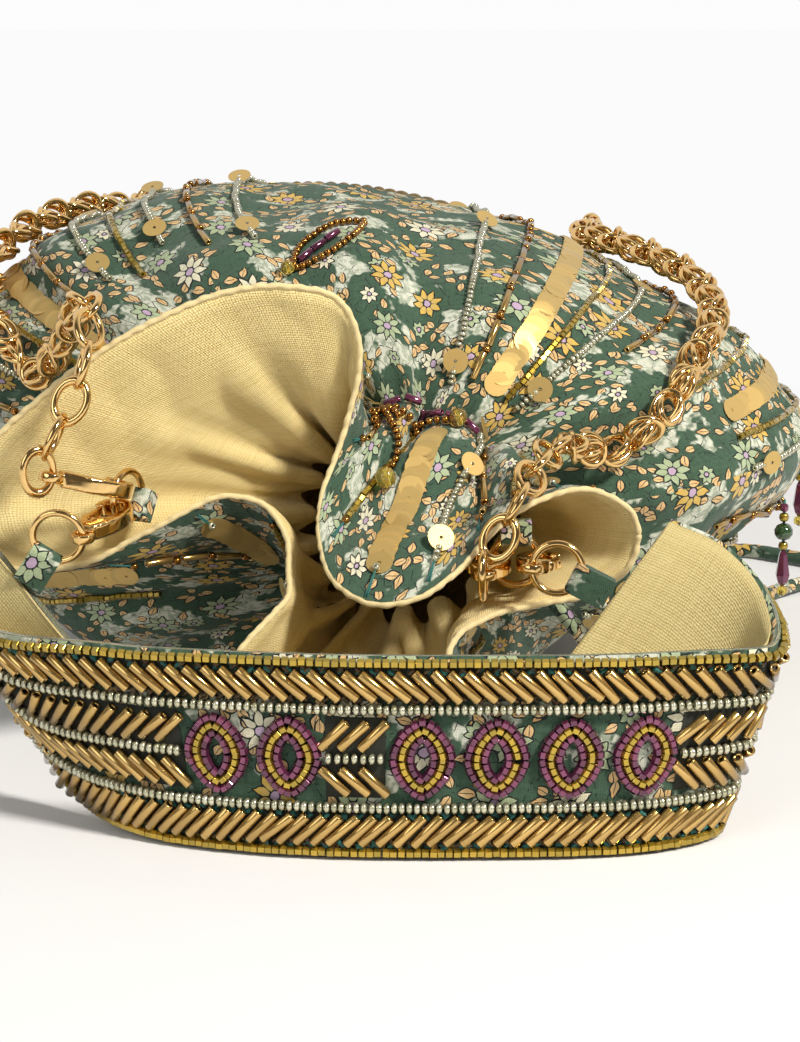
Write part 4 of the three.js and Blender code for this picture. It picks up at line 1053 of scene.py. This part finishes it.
# Sequins that overlap like scales, each leaning on the one before
def sequinsOnLine(line, normals, radius, pitch, lift):
    at, out, along = seatsOnLine(line, normals, pitch, 0.6)
    if not len(at):
        return None
    lean = out - along * 0.075 + rng.normal(0, 0.022, at.shape)
    frames = framesAlong(lean, unit(np.cross(lean, along)))
    template = sequinDisc(radius, 0.09)
    points, faces = spreadCopies(template, at + out * (lift + 0.3) + rng.normal(0, 0.07, at.shape), frames)
    return points, faces, np.repeat(rng.uniform(0, 1, len(at)), len(template[0]))


strandKinds = ("gold", "clear", "bugle", "round", "sequin")
strandPieces = {kind: [] for kind in strandKinds}
strandNodes = {kind: [] for kind in strandKinds}


# Single flat sequins among the clear beads, at a few shares of the strand
def addSingleSequins(line, normals, lift):
    for share in (0.04, 0.47, 0.97):
        place = np.array([share * (len(line) - 1)])
        at, out = pick(line, place), unit(pick(normals, place))
        if at[0, 2] > 3:
            along = unit(pick(np.gradient(line, axis=0), place))
            frames = framesAlong(out - along * 0.3 + rng.normal(0, 0.12, 3), along)
            disc = sequinDisc(beadSizes["sequin"], 0.1, 26)
            points, faces = spreadCopies(disc, at + out * (lift + 1.75) + along * 0.9, frames)
            strandPieces["sequin"].append((points, faces, np.full(len(points), rng.uniform(0, 1))))


def layStrand(kind, angle, start, end, node):
    line, normals = strandLine(angle, start, end)
    size = beadSizes
    lift = size["lift"]
    if node:
        strandNodes[kind].append(node)
    if kind == "gold":
        template = cutBead(size["cut"], size["cutLength"])
        beads = beadsOnLine(line, normals, template, size["cutPitch"], lift + size["cut"])
    elif kind == "clear":
        template = seedBead(size["seed"], size["seedLength"])
        beads = beadsOnLine(line, normals, template, size["seedPitch"], lift + size["seed"])
        addSingleSequins(line, normals, lift)
    elif kind == "bugle":
        step = size["bugleLength"] + 2 * size["round"] + 0.35
        template = bugleBead(size["bugle"], size["bugleLength"])
        beads = beadsOnLine(line, normals, template, step, lift + size["bugle"])
        between = seedBead(size["round"], 1.6)
        rounds = beadsOnLine(line, normals, between, step, lift + size["round"], start=step / 2)
        strandPieces["round"].append(rounds)
    else:
        beads = sequinsOnLine(line, normals, size["sequin"], size["sequinPitch"], lift)
    strandPieces[kind].append(beads)


for strand in bodyStrands + ruffleStrands:
    layStrand(*strand)

# A small bead and two teal stitches where each ruffle strand ends at the mouth
stitches = []
for kind, angle, start, _, _ in ruffleStrands:
    u = placeOfAngle(angle)
    at, out = layAt(np.array([u, u]), np.array([start - 0.012, start - 0.075]))
    if at[:, 2].min() > 2.4:
        frames = framesAlong(rng.normal(0, 1, (1, 3)), out[:1])
        points, faces = spreadCopies(seedBead(0.8, 1.3), at[:1] + out[:1] * 0.95, frames)
        finish = "clear" if kind in ("clear", "sequin") else "round"
        strandPieces[finish].append((points, faces, np.full(len(points), 0.5)))
        for swing in (-0.25, 0.25):
            aside = np.cross(out[0], unit(at[1] - at[0])) * swing
            path = np.linspace(at[0] + out[0] * 0.9, at[1] + out[0] * 0.15 + aside, 5)
            points, faces = tubeAlong(path, 0.17, 6, up=out[0])
            stitches.append((points, faces, np.zeros(len(points))))
addJoined("mouthStitches", stitches, tealThread)

strandLooks = {"gold": (goldBeads, "gold_bead"), "clear": (clearBeads, "clear_bead"),
               "bugle": (bugleBeads, "bronze_bead"), "round": (bronzeBeads, "bronze_bead"),
               "sequin": (sequinFoil, "gold_bead")}
for kind, parts in strandPieces.items():
    material, slotName = strandLooks[kind]
    addJoined(kind + "Strands", parts, material, strandNodes[kind], kind not in ("gold", "sequin"))


# Handle strap: a ruled band between its two edges
strap = {
    "width": 38, "thickness": 1.6, "liningThickness": 0.8, "liningInset": 0.8, "gap": 0.35,
    "edgeBeadHeight": 1.9, "edgeRow": 2.2, "bugleRow": 5.6, "clearRow": 2.3, "rowGap": 0.4,
    "figureHalfLength": 6, "figurePitch": 13.4, "figureStarts": ((-33, 2), (4, 4)),
    "edgePitch": 1.45, "edgeLift": 0.9, "clearPitch": 1.36, "clearLift": 1.0, "buglePitch": 3.05,
    "bugleLift": 0.95, "bugleSlant": 46, "innerMiddle": 4.35, "beadedShares": (0.012, 0.988), "lowest": 0.02,
}
# middle of the band in millimetres, and the way across it, from its left end to its right
strapRoute = np.array([
    (-71, 31, 43.5, -0.62, 0.45, 0.64), (-78.5, 33, 32, -0.62, 0.2, 0.76), (-70, 25, 21.5, -0.52, 0.02, 0.86),
    (-49, 10.5, 19.2, -0.2, -0.04, 0.98), (-20, 2.2, 19.1, -0.02, -0.02, 1), (14, 0.6, 19.1, 0.02, -0.02, 1),
    (46, 3.4, 19.1, 0.08, -0.04, 0.99), (63, 12, 19.2, 0.26, -0.1, 0.96), (61, 24, 27, 0.42, 0.2, 0.885),
    (51.5, 29.5, 36, 0.52, 0.32, 0.79), (40.5, 30.5, 41.5, 0.6, 0.35, 0.72)], float)
strapShares = np.linspace(0, 1, 1601)
strapPlaces, strapLength = lengthPlaces(strapRoute[:, :3], False, strapShares)
strapMiddle = curvePoints(strapRoute[:, :3], strapPlaces, False)
strapAcross = unit(curvePoints(strapRoute[:, 3:], strapPlaces, False))
strapAlong = unit(np.gradient(strapMiddle, axis=0))
strapOut = unit(np.cross(strapAlong, strapAcross))
beadTop = strap["thickness"] / 2 + strap["gap"] + strap["edgeBeadHeight"]
lowest = strap["width"] / 2 * strapAcross[:, 2] + beadTop * np.maximum(0, -strapOut[:, 2])
strapMiddle[:, 2] = np.maximum(strapMiddle[:, 2], lowest)


# Points at shares of the strap's length, so far across it and out from it, and the three ways there
def strapAt(share, across, out):
    place = np.asarray(share, float) * (len(strapShares) - 1)
    at, way, up, front = (pick(values, place) for values in (strapMiddle, strapAlong, strapAcross, strapOut))
    way, up, front = unit(way), unit(up), unit(front)
    across, out = np.broadcast_to(across, place.shape), np.broadcast_to(out, place.shape)
    return at + up * across[:, None] + front * out[:, None], way, up, front


# A closed band between two faces, with its sides rounded off a little and its ends closed
def strapBand(name, reach, bottom, top, material, replaced, wrinkle=0.0):
    rows, half = 340, 15
    shares = np.linspace(0, 1, rows)
    across = np.concatenate([np.linspace(-reach, reach, half), np.linspace(reach, -reach, half)])
    depth = np.concatenate([np.full(half, bottom), np.full(half, top)])
    rounding = 0.3
    depth[[0, half - 1]] += rounding
    depth[[half, 2 * half - 1]] -= rounding
    count = len(across)
    grid, uv = [], []
    for c, d in zip(across, depth):
        at, _, _, front = strapAt(shares, c, d)
        at = at + front * (wrinkle * spaceWaves(at, 16, 21))[:, None]
        grid.append(at)
        uv.append(np.stack([shares * strapLength, np.full(rows, c + (60 if d > 0 else 0))], -1))
    grid = np.stack(grid, 1)
    grid[..., 2] = np.maximum(grid[..., 2], 0.05)
    uv = np.stack(uv, 1)
    faces, places = gridFaces(rows, count, closed=True)
    ends = np.array([[i, i + 1, count - 2 - i, count - 1 - i] for i in range(half - 1)])
    flipped = ends[:, ::-1]
    loopUv = np.concatenate([uv[places[..., 0], places[..., 1] % count], uv[0][ends], uv[-1][flipped]]) / 1000
    faces = np.concatenate([faces, ends, flipped + (rows - 1) * count])
    addPiece(name, grid.reshape(-1, 3), faces, material, replaced, loopUv)


halfWidth = strap["width"] / 2
strapFace = strap["thickness"] / 2
strapBand("strapGround", halfWidth, -strapFace, strapFace, printMapped, ["strap_ground"])
liningFace = -strapFace - strap["gap"] + 0.2
liningBack = liningFace - strap["liningThickness"]
strapBand("strapLiningCloth", halfWidth - strap["liningInset"], liningBack, liningFace, strapLinen,
          ["strap_lining"], 0.12)
beadFoot = strapFace + 0.05


def strapBeads(across, template, pitch, lift, span=strap["beadedShares"], slant=None, jitter=0.05):
    start, end = span
    count = int((end - start) * strapLength / pitch)
    if count < 1:
        return None
    shares = np.linspace(start, end, count, endpoint=False) + pitch / strapLength / 2
    at, way, up, front = strapAt(shares, across, beadFoot + lift)
    if slant is None:
        along = way
    else:
        along = up * math.cos(math.radians(slant)) + way * math.sin(math.radians(slant))
    along = along + rng.normal(0, 0.035, along.shape)
    at = at + rng.normal(0, jitter, at.shape) * np.array([1, 1, 0.6])
    points, faces = spreadCopies(template, at, framesAlong(along, front))
    return points, faces, np.repeat(rng.uniform(0, 1, count), len(template[0]))


# Middles of the rows across the strap, from its edge inwards
bugleMiddle = halfWidth - strap["edgeRow"] - strap["rowGap"] - strap["bugleRow"] / 2
clearMiddle = bugleMiddle - strap["bugleRow"] / 2 - strap["rowGap"] - strap["clearRow"] / 2
centreTop = clearMiddle - strap["clearRow"] / 2 - strap["rowGap"]
edgeMiddle = halfWidth - strap["edgeRow"] / 2
bugleLook = bugleBead(1.0, 7.5, 10)
edgeLook = cutBead(0.92, 1.32)
clearLook = seedBead(1.08, 1.22)


# Share of the strap's length at an x along its front
def shareAtX(x):
    span = slice(320, 1281)
    return float(np.interp(x, strapMiddle[span, 0], strapShares[span]))


figureSpans = []
for startX, count in strap["figureStarts"]:
    start = shareAtX(startX)
    reach = (strap["figureHalfLength"] + 0.6) / strapLength
    figureSpans.append((start - reach, start + (count - 1) * strap["figurePitch"] / strapLength + reach))
firstShare, lastShare = strap["beadedShares"]
centreSpans = [(firstShare, figureSpans[0][0]), (figureSpans[0][1], figureSpans[1][0]),
               (figureSpans[1][1], lastShare)]


# Bed of thread under slanted bugles, between two shares of the strap's length
def threadBand(middle, width, low, high):
    count = max(8, int((high - low) * 330))
    shares = np.linspace(low, high, count)
    rows = []
    for across, lift in ((-0.5, -0.3), (-0.46, 0.12), (-0.2, 0.2), (0.2, 0.2), (0.46, 0.12), (0.5, -0.3)):
        at, _, _, _ = strapAt(shares, middle + across * width, beadFoot + lift)
        rows.append(at)
    grid = np.stack(rows, 1)
    faces, _ = gridFaces(count, len(rows))
    return grid.reshape(-1, 3), faces, np.zeros(count * len(rows))


def buildStrapBeads():
    beds = [threadBand(side * bugleMiddle, 6.4, 0.006, 0.994) for side in (1, -1)]
    beds += [threadBand(0, 2 * centreTop + 0.6, low, high) for low, high in centreSpans]
    addJoined("threadBeds", beds, threadBed)
    pitch, lift, slant = strap["buglePitch"], strap["bugleLift"], strap["bugleSlant"]
    clearPitch, clearLift = strap["clearPitch"], strap["clearLift"]
    edgePitch, edgeLift = strap["edgePitch"], strap["edgeLift"]
    gold = [strapBeads(side * edgeMiddle, edgeLook, edgePitch, edgeLift) for side in (1, -1)]
    clear = [strapBeads(side * clearMiddle, clearLook, clearPitch, clearLift) for side in (1, -1)]
    bugles = [strapBeads(side * bugleMiddle, bugleLook, pitch, lift, slant=-slant * side) for side in (1, -1)]
    inner = bugleBead(1.0, 7.0, 10)
    for span in centreSpans:
        for side in (1, -1):
            bugles.append(strapBeads(side * strap["innerMiddle"], inner, pitch, lift, span, slant * side))
        clear.append(strapBeads(0, clearLook, clearPitch, clearLift, span))
    bugleNodes = ["upper_bugle_row", "lower_bugle_row", "centre_bugles_left", "centre_bugles_middle",
                  "centre_bugles_right"]
    edgeNodes = ["upper_edge_bead_row", "lower_edge_bead_row"]
    clearNodes = ["upper_clear_bead_row", "lower_clear_bead_row"]
    addJoined("strapEdgeBeads", gold, goldBeads, edgeNodes, False, strap["lowest"])
    addJoined("strapClearBeads", clear, clearBeads, clearNodes, lowest=strap["lowest"])
    addJoined("strapBugles", bugles, bugleBeads, bugleNodes, lowest=strap["lowest"])
    teal, brown = [], []
    template = threadStitch(0.42, 1.9)
    for across, look in (
            (bugleMiddle + 2.7, teal), (bugleMiddle - 2.6, brown), (-bugleMiddle + 2.6, teal),
            (-bugleMiddle - 2.7, brown), (bugleMiddle, brown), (-bugleMiddle, brown),
            (edgeMiddle - 1.25, brown), (-edgeMiddle + 1.25, teal)):
        for lean in (-52, 52):
            look.append(strapBeads(across, template, pitch, 0.3, slant=lean, jitter=0.28))
    addJoined("strapStitches", teal, tealThread, lowest=strap["lowest"])
    addJoined("strapUnderStitches", brown, brownThread, lowest=strap["lowest"])


# Raised figures: rows of beads in nested pointed ovals
def buildFigures():
    figure = 0
    angle = np.linspace(0, 2 * math.pi, 721)
    sharp = 1.25
    for startX, count in strap["figureStarts"]:
        for i in range(count):
            figure += 1
            share = shareAtX(startX) + i * strap["figurePitch"] / strapLength
            plum, gold = [], []
            for inset, look in ((0.75, plum), (2.3, gold), (3.85, plum)):
                wide, tall = strap["figureHalfLength"] - inset, centreTop - inset
                along = np.sign(np.cos(angle)) * np.abs(np.cos(angle)) ** sharp * wide
                across = np.sign(np.sin(angle)) * np.abs(np.sin(angle)) ** sharp * tall
                at, _, _, front = strapAt(share + along / strapLength, across, beadFoot + 0.9)
                look.append(beadsOnLine(at, front, cutBead(0.86, 1.3), 1.42, 0.0, 0.04))
            figureNodes = ["bead_figure_%d" % figure]
            addJoined("figurePlum%d" % figure, plum, purpleBeads, figureNodes, False)
            addJoined("figureGold%d" % figure, gold, goldBeads, smooth=False)


buildStrapBeads()
buildFigures()
print("strap made")


# Claws, gates and tabs stay as the part has them, rounded off and finished
def finishHardware():
    for name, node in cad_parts.items():
        if name.startswith(("claw_", "strap_tab", "bag_tab")):
            cloth = "tab" in name
            node.data.materials.clear()
            node.data.materials.append(printOwnSpace if cloth else goldMetal)
            joined = node.modifiers.new("joined", "WELD")
            joined.merge_threshold = 0.00002
            if cloth:
                soft = node.modifiers.new("rounded", "BEVEL")
                soft.width = 0.0005
                soft.segments = 4
                soft.angle_limit = math.radians(40)
            else:
                even = node.modifiers.new("evened", "REMESH")
                even.mode = "VOXEL"
                even.voxel_size = 0.00028
                even.use_smooth_shade = True
                soft = node.modifiers.new("polished", "SMOOTH")
                soft.factor = 0.5
                soft.iterations = 18


# A ring in its own plane, drawn out along x
def ringTemplate(radius, stretch, wire, around=24, sides=8):
    a = np.arange(around) * 2 * math.pi / around
    b = np.arange(sides) * 2 * math.pi / sides
    aa, bb = np.meshgrid(a, b, indexing="ij")
    x = (radius + wire * np.cos(bb)) * np.cos(aa) * stretch
    y = (radius + wire * np.cos(bb)) * np.sin(aa)
    z = wire * np.sin(bb)
    points = np.stack([x, y, z], -1).reshape(-1, 3)
    faces, _ = gridFaces(around + 1, sides, closed=True)
    return points, faces % len(points)


# True round rings in the places of the part's own
def buildRings():
    for name in ("strap_ring_left", "strap_ring_right", "bag_ring_left", "bag_ring_right"):
        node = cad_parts[name]
        places = np.array([vertex.co for vertex in node.data.vertices], float) * 1000 - bagPlace
        centre = (places.max(axis=0) + places.min(axis=0)) / 2
        spread = np.linalg.svd(places - places.mean(axis=0), full_matrices=False)[2]
        axis = unit(spread[2])
        offAxis = (places - centre) @ axis
        flat = np.linalg.norm(places - centre - offAxis[:, None] * axis, axis=1)
        radius, wire = (flat.max() + flat.min()) / 2, (flat.max() - flat.min()) / 2
        first = unit(np.cross(axis, (0.3, 0.5, 0.8)))
        frames = np.stack([first, np.cross(axis, first), axis], -1)
        points, faces = spreadCopies(ringTemplate(radius, 1.0, wire, 64, 16), centre[None], frames[None])
        addPiece(name.replace("_ring_", "Ring") + "Wire", points, faces, goldMetal, [name])
        print(name, "radius", round(float(flat.max()), 2), "wire", round(float(wire), 2))


finishHardware()
buildRings()

# Shoulder chain: open links at both ends, close clusters of thin rings between
chain = {
    "lift": 5.6, "linkRadius": 3.1, "stretch": 1.35, "wire": 0.75, "overlap": 0.6, "openLinks": 7,
    "rise": 0.6, "thinRadius": 2.852, "thinStretch": 1.3, "thinWire": 0.66, "bundleSwing": 34,
    "bundleStep": 0.5,
    "leftHang": [(-66, 36.5, 70.5), (-63, 39, 77), (-60.5, 41, 84), (-59.5, 45, 90.5), (-60.5, 52, 94),
                 (-63.5, 62, 92.5), (-68, 77, 84.5)],
    "leftPouch": [(153, 0.25), (150, 0.34), (146, 0.42), (141, 0.5), (138, 0.62), (134, 0.8), (133, 0.92)],
    "behind": [(-60, 202, 100.5), (-58, 211, 89), (-49, 211, 77), (-30, 210, 65), (0, 210, 59), (28, 210, 63),
               (42, 212, 74), (47, 212, 84), (48, 203, 93)],
    "rightPouch": [(54, 0.86), (49, 0.65), (43, 0.5), (38, 0.36), (35, 0.26), (27, 0.17)],
    "rightHang": [(42, 76, 61), (35, 67, 64), (30.5, 57, 65), (27, 46, 64.5), (24.5, 37, 62.5),
                  (21, 31.5, 57.5)],
    "leftEye": (-66.28, 35.1, 63.77), "rightEye": (16.08, 31.29, 45.61),
    "leftClaw": (0.83, 0.49, -0.25), "rightClaw": (0.12, 0.98, -0.02),
    "leftLean": (0.49, -0.83, 0.0), "rightLean": (0.98, -0.12, 0.0),
}


# Points a little above the cloth, from pairs of neck angle and place along the cloth
def onPouch(places):
    angle, v = np.array(places, float).T
    u = placeOfAngle(angle)
    uStep, vStep = 0.004, 0.02
    down = clothPoints(u, v + vStep) - clothPoints(u, v - vStep)
    across = clothPoints(u + uStep, v) - clothPoints(u - uStep, v)
    return clothPoints(u, v) + unit(np.cross(down, across)) * (pouch["clothThickness"] + chain["lift"])


def chainRoute():
    reach = chain["linkRadius"] * math.cos(math.pi / 6)
    rise = np.array([0, 0, chain["rise"]])
    first = np.array(chain["leftEye"]) - unit(chain["leftClaw"]) * reach + rise
    final = np.array(chain["rightEye"]) - unit(chain["rightClaw"]) * reach + rise
    return np.concatenate([[first], chain["leftHang"], onPouch(chain["leftPouch"]), chain["behind"],
                           onPouch(chain["rightPouch"]), chain["rightHang"], [final]])


# Frames of three thin rings in a fan about one link's place, and how far each stands to the side
def bundleFrames(along, lean):
    y = unit(np.cross(lean, along))
    z = np.cross(along, y)
    found = []
    for k in (-1, 0, 1):
        a = math.radians(chain["bundleSwing"] * k)
        tilted = along * math.cos(a * 0.8) + z * math.sin(a * 0.8)
        sideways = y * math.cos(a) + z * math.sin(a)
        sideways = unit(sideways - tilted * np.dot(sideways, tilted))
        turned = np.stack([tilted, sideways, np.cross(tilted, sideways)], -1)
        found.append((turned, y * k * chain["bundleStep"]))
    return found


def buildChain():
    route = chainRoute()
    spans = len(route) - 1
    total = runningLength(curvePoints(route, np.linspace(0, spans, spans * 80 + 1), False))[-1]
    pitch = 2 * (chain["linkRadius"] * chain["stretch"] - chain["wire"]) + chain["overlap"]
    count = round(total / pitch) + 1
    places, _ = lengthPlaces(route, False, np.linspace(0, 1, count))
    at = curvePoints(route, places, False)
    ahead = unit(curvePoints(route, np.minimum(places + 0.02, spans), False)
                 - curvePoints(route, np.maximum(places - 0.02, 0), False))
    openLink = ringTemplate(chain["linkRadius"], chain["stretch"], chain["wire"])
    thinLink = ringTemplate(chain["thinRadius"], chain["thinStretch"], chain["thinWire"], 20)
    parts = []
    for i in range(count):
        if i in (0, count - 1):
            along = np.array([0, 0, 1.0])
            lean = np.array(chain["leftLean"] if i == 0 else chain["rightLean"])
        else:
            along = ahead[i]
            side = unit(np.cross(along, (0, 0, 1.0)))
            turn = math.radians(45 if i % 2 else -45)
            lean = side * math.cos(turn) + np.cross(along, side) * math.sin(turn)
        isOpen = i < chain["openLinks"] or i >= count - chain["openLinks"]
        if isOpen:
            rings = [(openLink, framesAlong(along, lean), 0)]
        else:
            rings = [(thinLink, turned, aside) for turned, aside in bundleFrames(along, lean)]
        for template, turned, aside in rings:
            points, faces = spreadCopies(template, at[i:i + 1] + aside, turned[None])
            parts.append((points, faces, np.zeros(len(points))))
    addJoined("shoulderChainLinks", parts, goldMetal, ["shoulder_chain"])
    print("chain", count, "links")


buildChain()


# Bead drops that hang from the pouch's right side: where, then the beads from the top, with the room for each
drops = {
    "places": ((-10, 3 / 7, "bead_drop_1"), (0, 4 / 7, "bead_drop_2")),
    "lift": 0.8,
    "top": -0.8,
    "thread": 0.3,
    "beads": (
        ("plum", seedBead(1.0, 1.9), 2.0),
        ("gold", seedBead(1.1, 2.0), 2.2),
        ("green", evenBead([(2.0, 0.4), (1.5, 1.5), (0.5, 2.1)], 16), 4.2),
        ("gold", seedBead(1.1, 1.9), 2.0),
        ("plum", turnedBead([(-4, 0.5), (-3.2, 0.95), (1.6, 1.7), (3.2, 1.2), (4, 0.5)], 6), 8.0),
        ("orange", seedBead(1.2, 2.1), 2.2),
    ),
    "looks": {
        "thread": (tealThread, "print_cloth"), "plum": (purpleBeads, "purple_bead"),
        "gold": (goldBeads, "gold_bead"), "green": (greenBeads, "purple_bead"),
        "orange": (yellowBeads, "purple_bead"),
    },
}


def buildDrops():
    downward = np.array([(0, 0, 1.0), (0, 1.0, 0), (-1.0, 0, 0)])    # a bead's x points to the floor
    for order, (angle, v, node) in enumerate(drops["places"], 1):
        at, out = layAt(np.array([placeOfAngle(angle % 360)]), np.array([v]))
        at = at[0] + out[0] * drops["lift"]
        parts = {name: [] for name in drops["looks"]}
        z = drops["top"]
        for name, template, length in drops["beads"]:
            centre = at + np.array([0, 0, z - length / 2])
            points, faces = spreadCopies(template, centre[None], downward[None])
            parts[name].append((points, faces, np.full(len(points), rng.uniform(0, 1))))
            z -= length + 0.1
        path = at + np.array([(0, 0, 0), (0, 0, z / 2), (0, 0, z)])
        points, faces = tubeAlong(path, drops["thread"], 6, up=(0, 1, 0))
        parts["thread"].append((points, faces, np.zeros(len(points))))
        for name, (material, slotName) in drops["looks"].items():
            addJoined("drop%d%s" % (order, name.capitalize()), parts[name], material,
                      [node] if name == "thread" else (), name != "plum")


buildDrops()
print("drops made")


# Beadwork at the neck and the petal loop, through places on the cloth: (neck angle, v)
beadwork = {
    "bead": 0.78, "pitch": 1.5, "lift": 0.9,
    "strings": [
        [(104, -0.74), (103, -0.6), (100, -0.46), (94, -0.44), (90.5, -0.52), (86, -0.6), (81, -0.64)],
        [(106, -0.7), (105, -0.56), (102, -0.42), (96, -0.36), (89, -0.38), (80, -0.34), (73, -0.32),
         (69, -0.32)],
        [(102, -0.7), (101, -0.56), (98, -0.42), (93, -0.4), (90, -0.45)],
    ],
    "plum": [[(96, -0.22), (91, -0.2), (84, -0.17), (76, -0.19), (69, -0.25), (61, -0.28)]],
    "petals": [
        [(103.8, 0.25), (101, 0.288), (96.2, 0.319), (93.3, 0.335), (90.5, 0.344)],
        [(103.8, 0.25), (100.8, 0.256), (95.6, 0.269), (92.8, 0.294), (90.5, 0.344)],
    ],
    "petalPlum": [[(102, 0.262), (98.5, 0.28), (94.5, 0.302)]],
    "yellow": [(77.5, -0.67, 2.1), (66, -0.31, 1.9), (105, 0.245, 1.5)],
}


# A line over the cloth through such places, evened out, and the cloth's normals along it
def clothLine(places, lift):
    count, width = 300, 25
    places = np.array([(angle, v * 60, 0) for angle, v in places], float)
    line = curvePoints(places, np.linspace(0, len(places) - 1, count), False)
    at, normals = layAt(placeOfAngle(line[:, 0] % 360), line[:, 1] / 60)
    kernel = np.ones(width) / width
    padded = np.concatenate([np.repeat(at[:1], width // 2, 0), at, np.repeat(at[-1:], width // 2, 0)])
    at = np.stack([np.convolve(padded[:, k], kernel, "valid") for k in range(3)], 1)
    return at + normals * lift, normals


def glassBall(radius):
    half = [(radius, radius * 0.2), (radius * 0.92, radius * 0.42), (radius * 0.6, radius * 0.82)]
    return turnedBead([(-x, r) for x, r in half] + [(0, radius)] + half[::-1], 20)


def buildBeadwork():
    look = beadwork
    template = seedBead(look["bead"], 1.4, 10)
    for name, routes, ground, lift, nodes in (
            ("neckBeadStrings", look["strings"], look["lift"] * 0.5, look["lift"], ["neck_bead_branch"]),
            ("petalBeads", look["petals"], 0.1, 0.8, ())):
        lines = [clothLine(places, ground) for places in routes]
        parts = [beadsOnLine(line, normals, template, look["pitch"], lift) for line, normals in lines]
        addJoined(name, parts, bronzeBeads, nodes)
    lines = [clothLine(places, 0.4) for places in look["plum"] + look["petalPlum"]]
    parts = [beadsOnLine(line, normals, bugleBead(0.8, 3.6, 10), 3.9, 0.8) for line, normals in lines]
    addJoined("plumBugles", parts, purpleBeads)
    parts = []
    for angle, v, radius in look["yellow"]:
        at, normals = layAt(np.array([placeOfAngle(angle)]), np.array([v]))
        frames = framesAlong(np.array([[0.3, 0.2, -1.0]]), normals)
        points, faces = spreadCopies(glassBall(radius), at + normals * (radius + 0.2), frames)
        parts.append((points, faces, np.full(len(points), 0.2)))
    addJoined("yellowGlass", parts, yellowBeads)


buildBeadwork()
print("beadwork made")


# Floor, background and light
stage = {
    "floor": (0.81, 0.81, 0.81), "floorFlecks": 0.015, "roomGrey": 0.31, "white": (0.965, 0.965, 0.965, 1),
    "bright": (0.98, 0.98, 0.98, 1), "dark": (0.10, 0.09, 0.08, 1), "lookAt": (0, 0, 0.04),
    # name, place, size, power, tint
    "lights": (("keyLight", (0.78, -0.72, 0.98), 0.26, 24, (1.0, 0.96, 0.90)),
               ("fillLight", (-0.8, -1.0, 0.7), 0.9, 4, (0.95, 0.98, 1.0))),
}


# One where the camera looks, straight on, in a reflection or through glass
def seenByCamera(tree):
    path = addNode(tree, "ShaderNodeLightPath").outputs
    bounced = calc(tree, "MAXIMUM", path["Is Glossy Ray"], path["Is Transmission Ray"])
    return calc(tree, "MAXIMUM", path["Is Camera Ray"], bounced)


# Pale floor that turns to white light away from the bag
def buildFloor():
    bpy.ops.mesh.primitive_plane_add(size=10, location=(0, 0, -0.0002))
    floor = bpy.context.object
    floor.name = "paleFloor"
    material, tree, shader = newMaterial("paleFloor")
    place = addNode(tree, "ShaderNodeTexCoord").outputs["Object"]
    pale = (*stage["floor"], 1)
    paler = (*(c + stage["floorFlecks"] for c in stage["floor"]), 1)
    base = blendColour(tree, noiseOf(tree, place, 40, 2.0), pale, paler)
    setInputs(tree, shader, {"Base Color": base, "Roughness": 0.75, "Specular IOR Level": 0.2})
    distance = addNode(tree, "ShaderNodeVectorMath", operation="LENGTH")
    tree.links.new(place, distance.inputs[0])
    white = addNode(tree, "ShaderNodeEmission")
    white.inputs["Color"].default_value = stage["white"]
    mix = addNode(tree, "ShaderNodeMixShader")
    away = softMask(tree, distance.outputs["Value"], 0.2, 0.5)
    tree.links.new(times(tree, seenByCamera(tree), away), mix.inputs[0])
    tree.links.new(shader.outputs[0], mix.inputs[1])
    tree.links.new(white.outputs[0], mix.inputs[2])
    tree.links.new(mix.outputs[0], tree.nodes["Material Output"].inputs["Surface"])
    floor.data.materials.append(material)


# Grey room for the light, and for the camera a backdrop that is dark on one side
def buildWorld():
    world = bpy.data.worlds.new("studio")
    scene.world = world
    world.use_nodes = True
    tree = world.node_tree
    split = addNode(tree, "ShaderNodeSeparateXYZ")
    tree.links.new(addNode(tree, "ShaderNodeTexCoord").outputs["Generated"], split.inputs[0])
    behind = softMask(tree, split.outputs[1], -0.25, 0.45)
    backdrop = blendColour(tree, behind, stage["dark"], stage["bright"])
    grey = (stage["roomGrey"],) * 3 + (1,)
    colour = blendColour(tree, seenByCamera(tree), grey, backdrop)
    setInputs(tree, tree.nodes["Background"], {"Color": colour, "Strength": 1.0})


def addLights():
    for name, place, size, power, tint in stage["lights"]:
        light = bpy.data.lights.new(name, "AREA")
        light.shape = "DISK"
        light.size = size
        light.energy = power
        light.color = tint
        lamp = bpy.data.objects.new(name, light)
        lamp.location = place
        lamp.rotation_euler = (Vector(stage["lookAt"]) - Vector(place)).to_track_quat("-Z", "Y").to_euler()
        scene.collection.objects.link(lamp)


buildFloor()
buildWorld()
addLights()
scene.view_settings.view_transform = "Standard"
print("floor and light set")
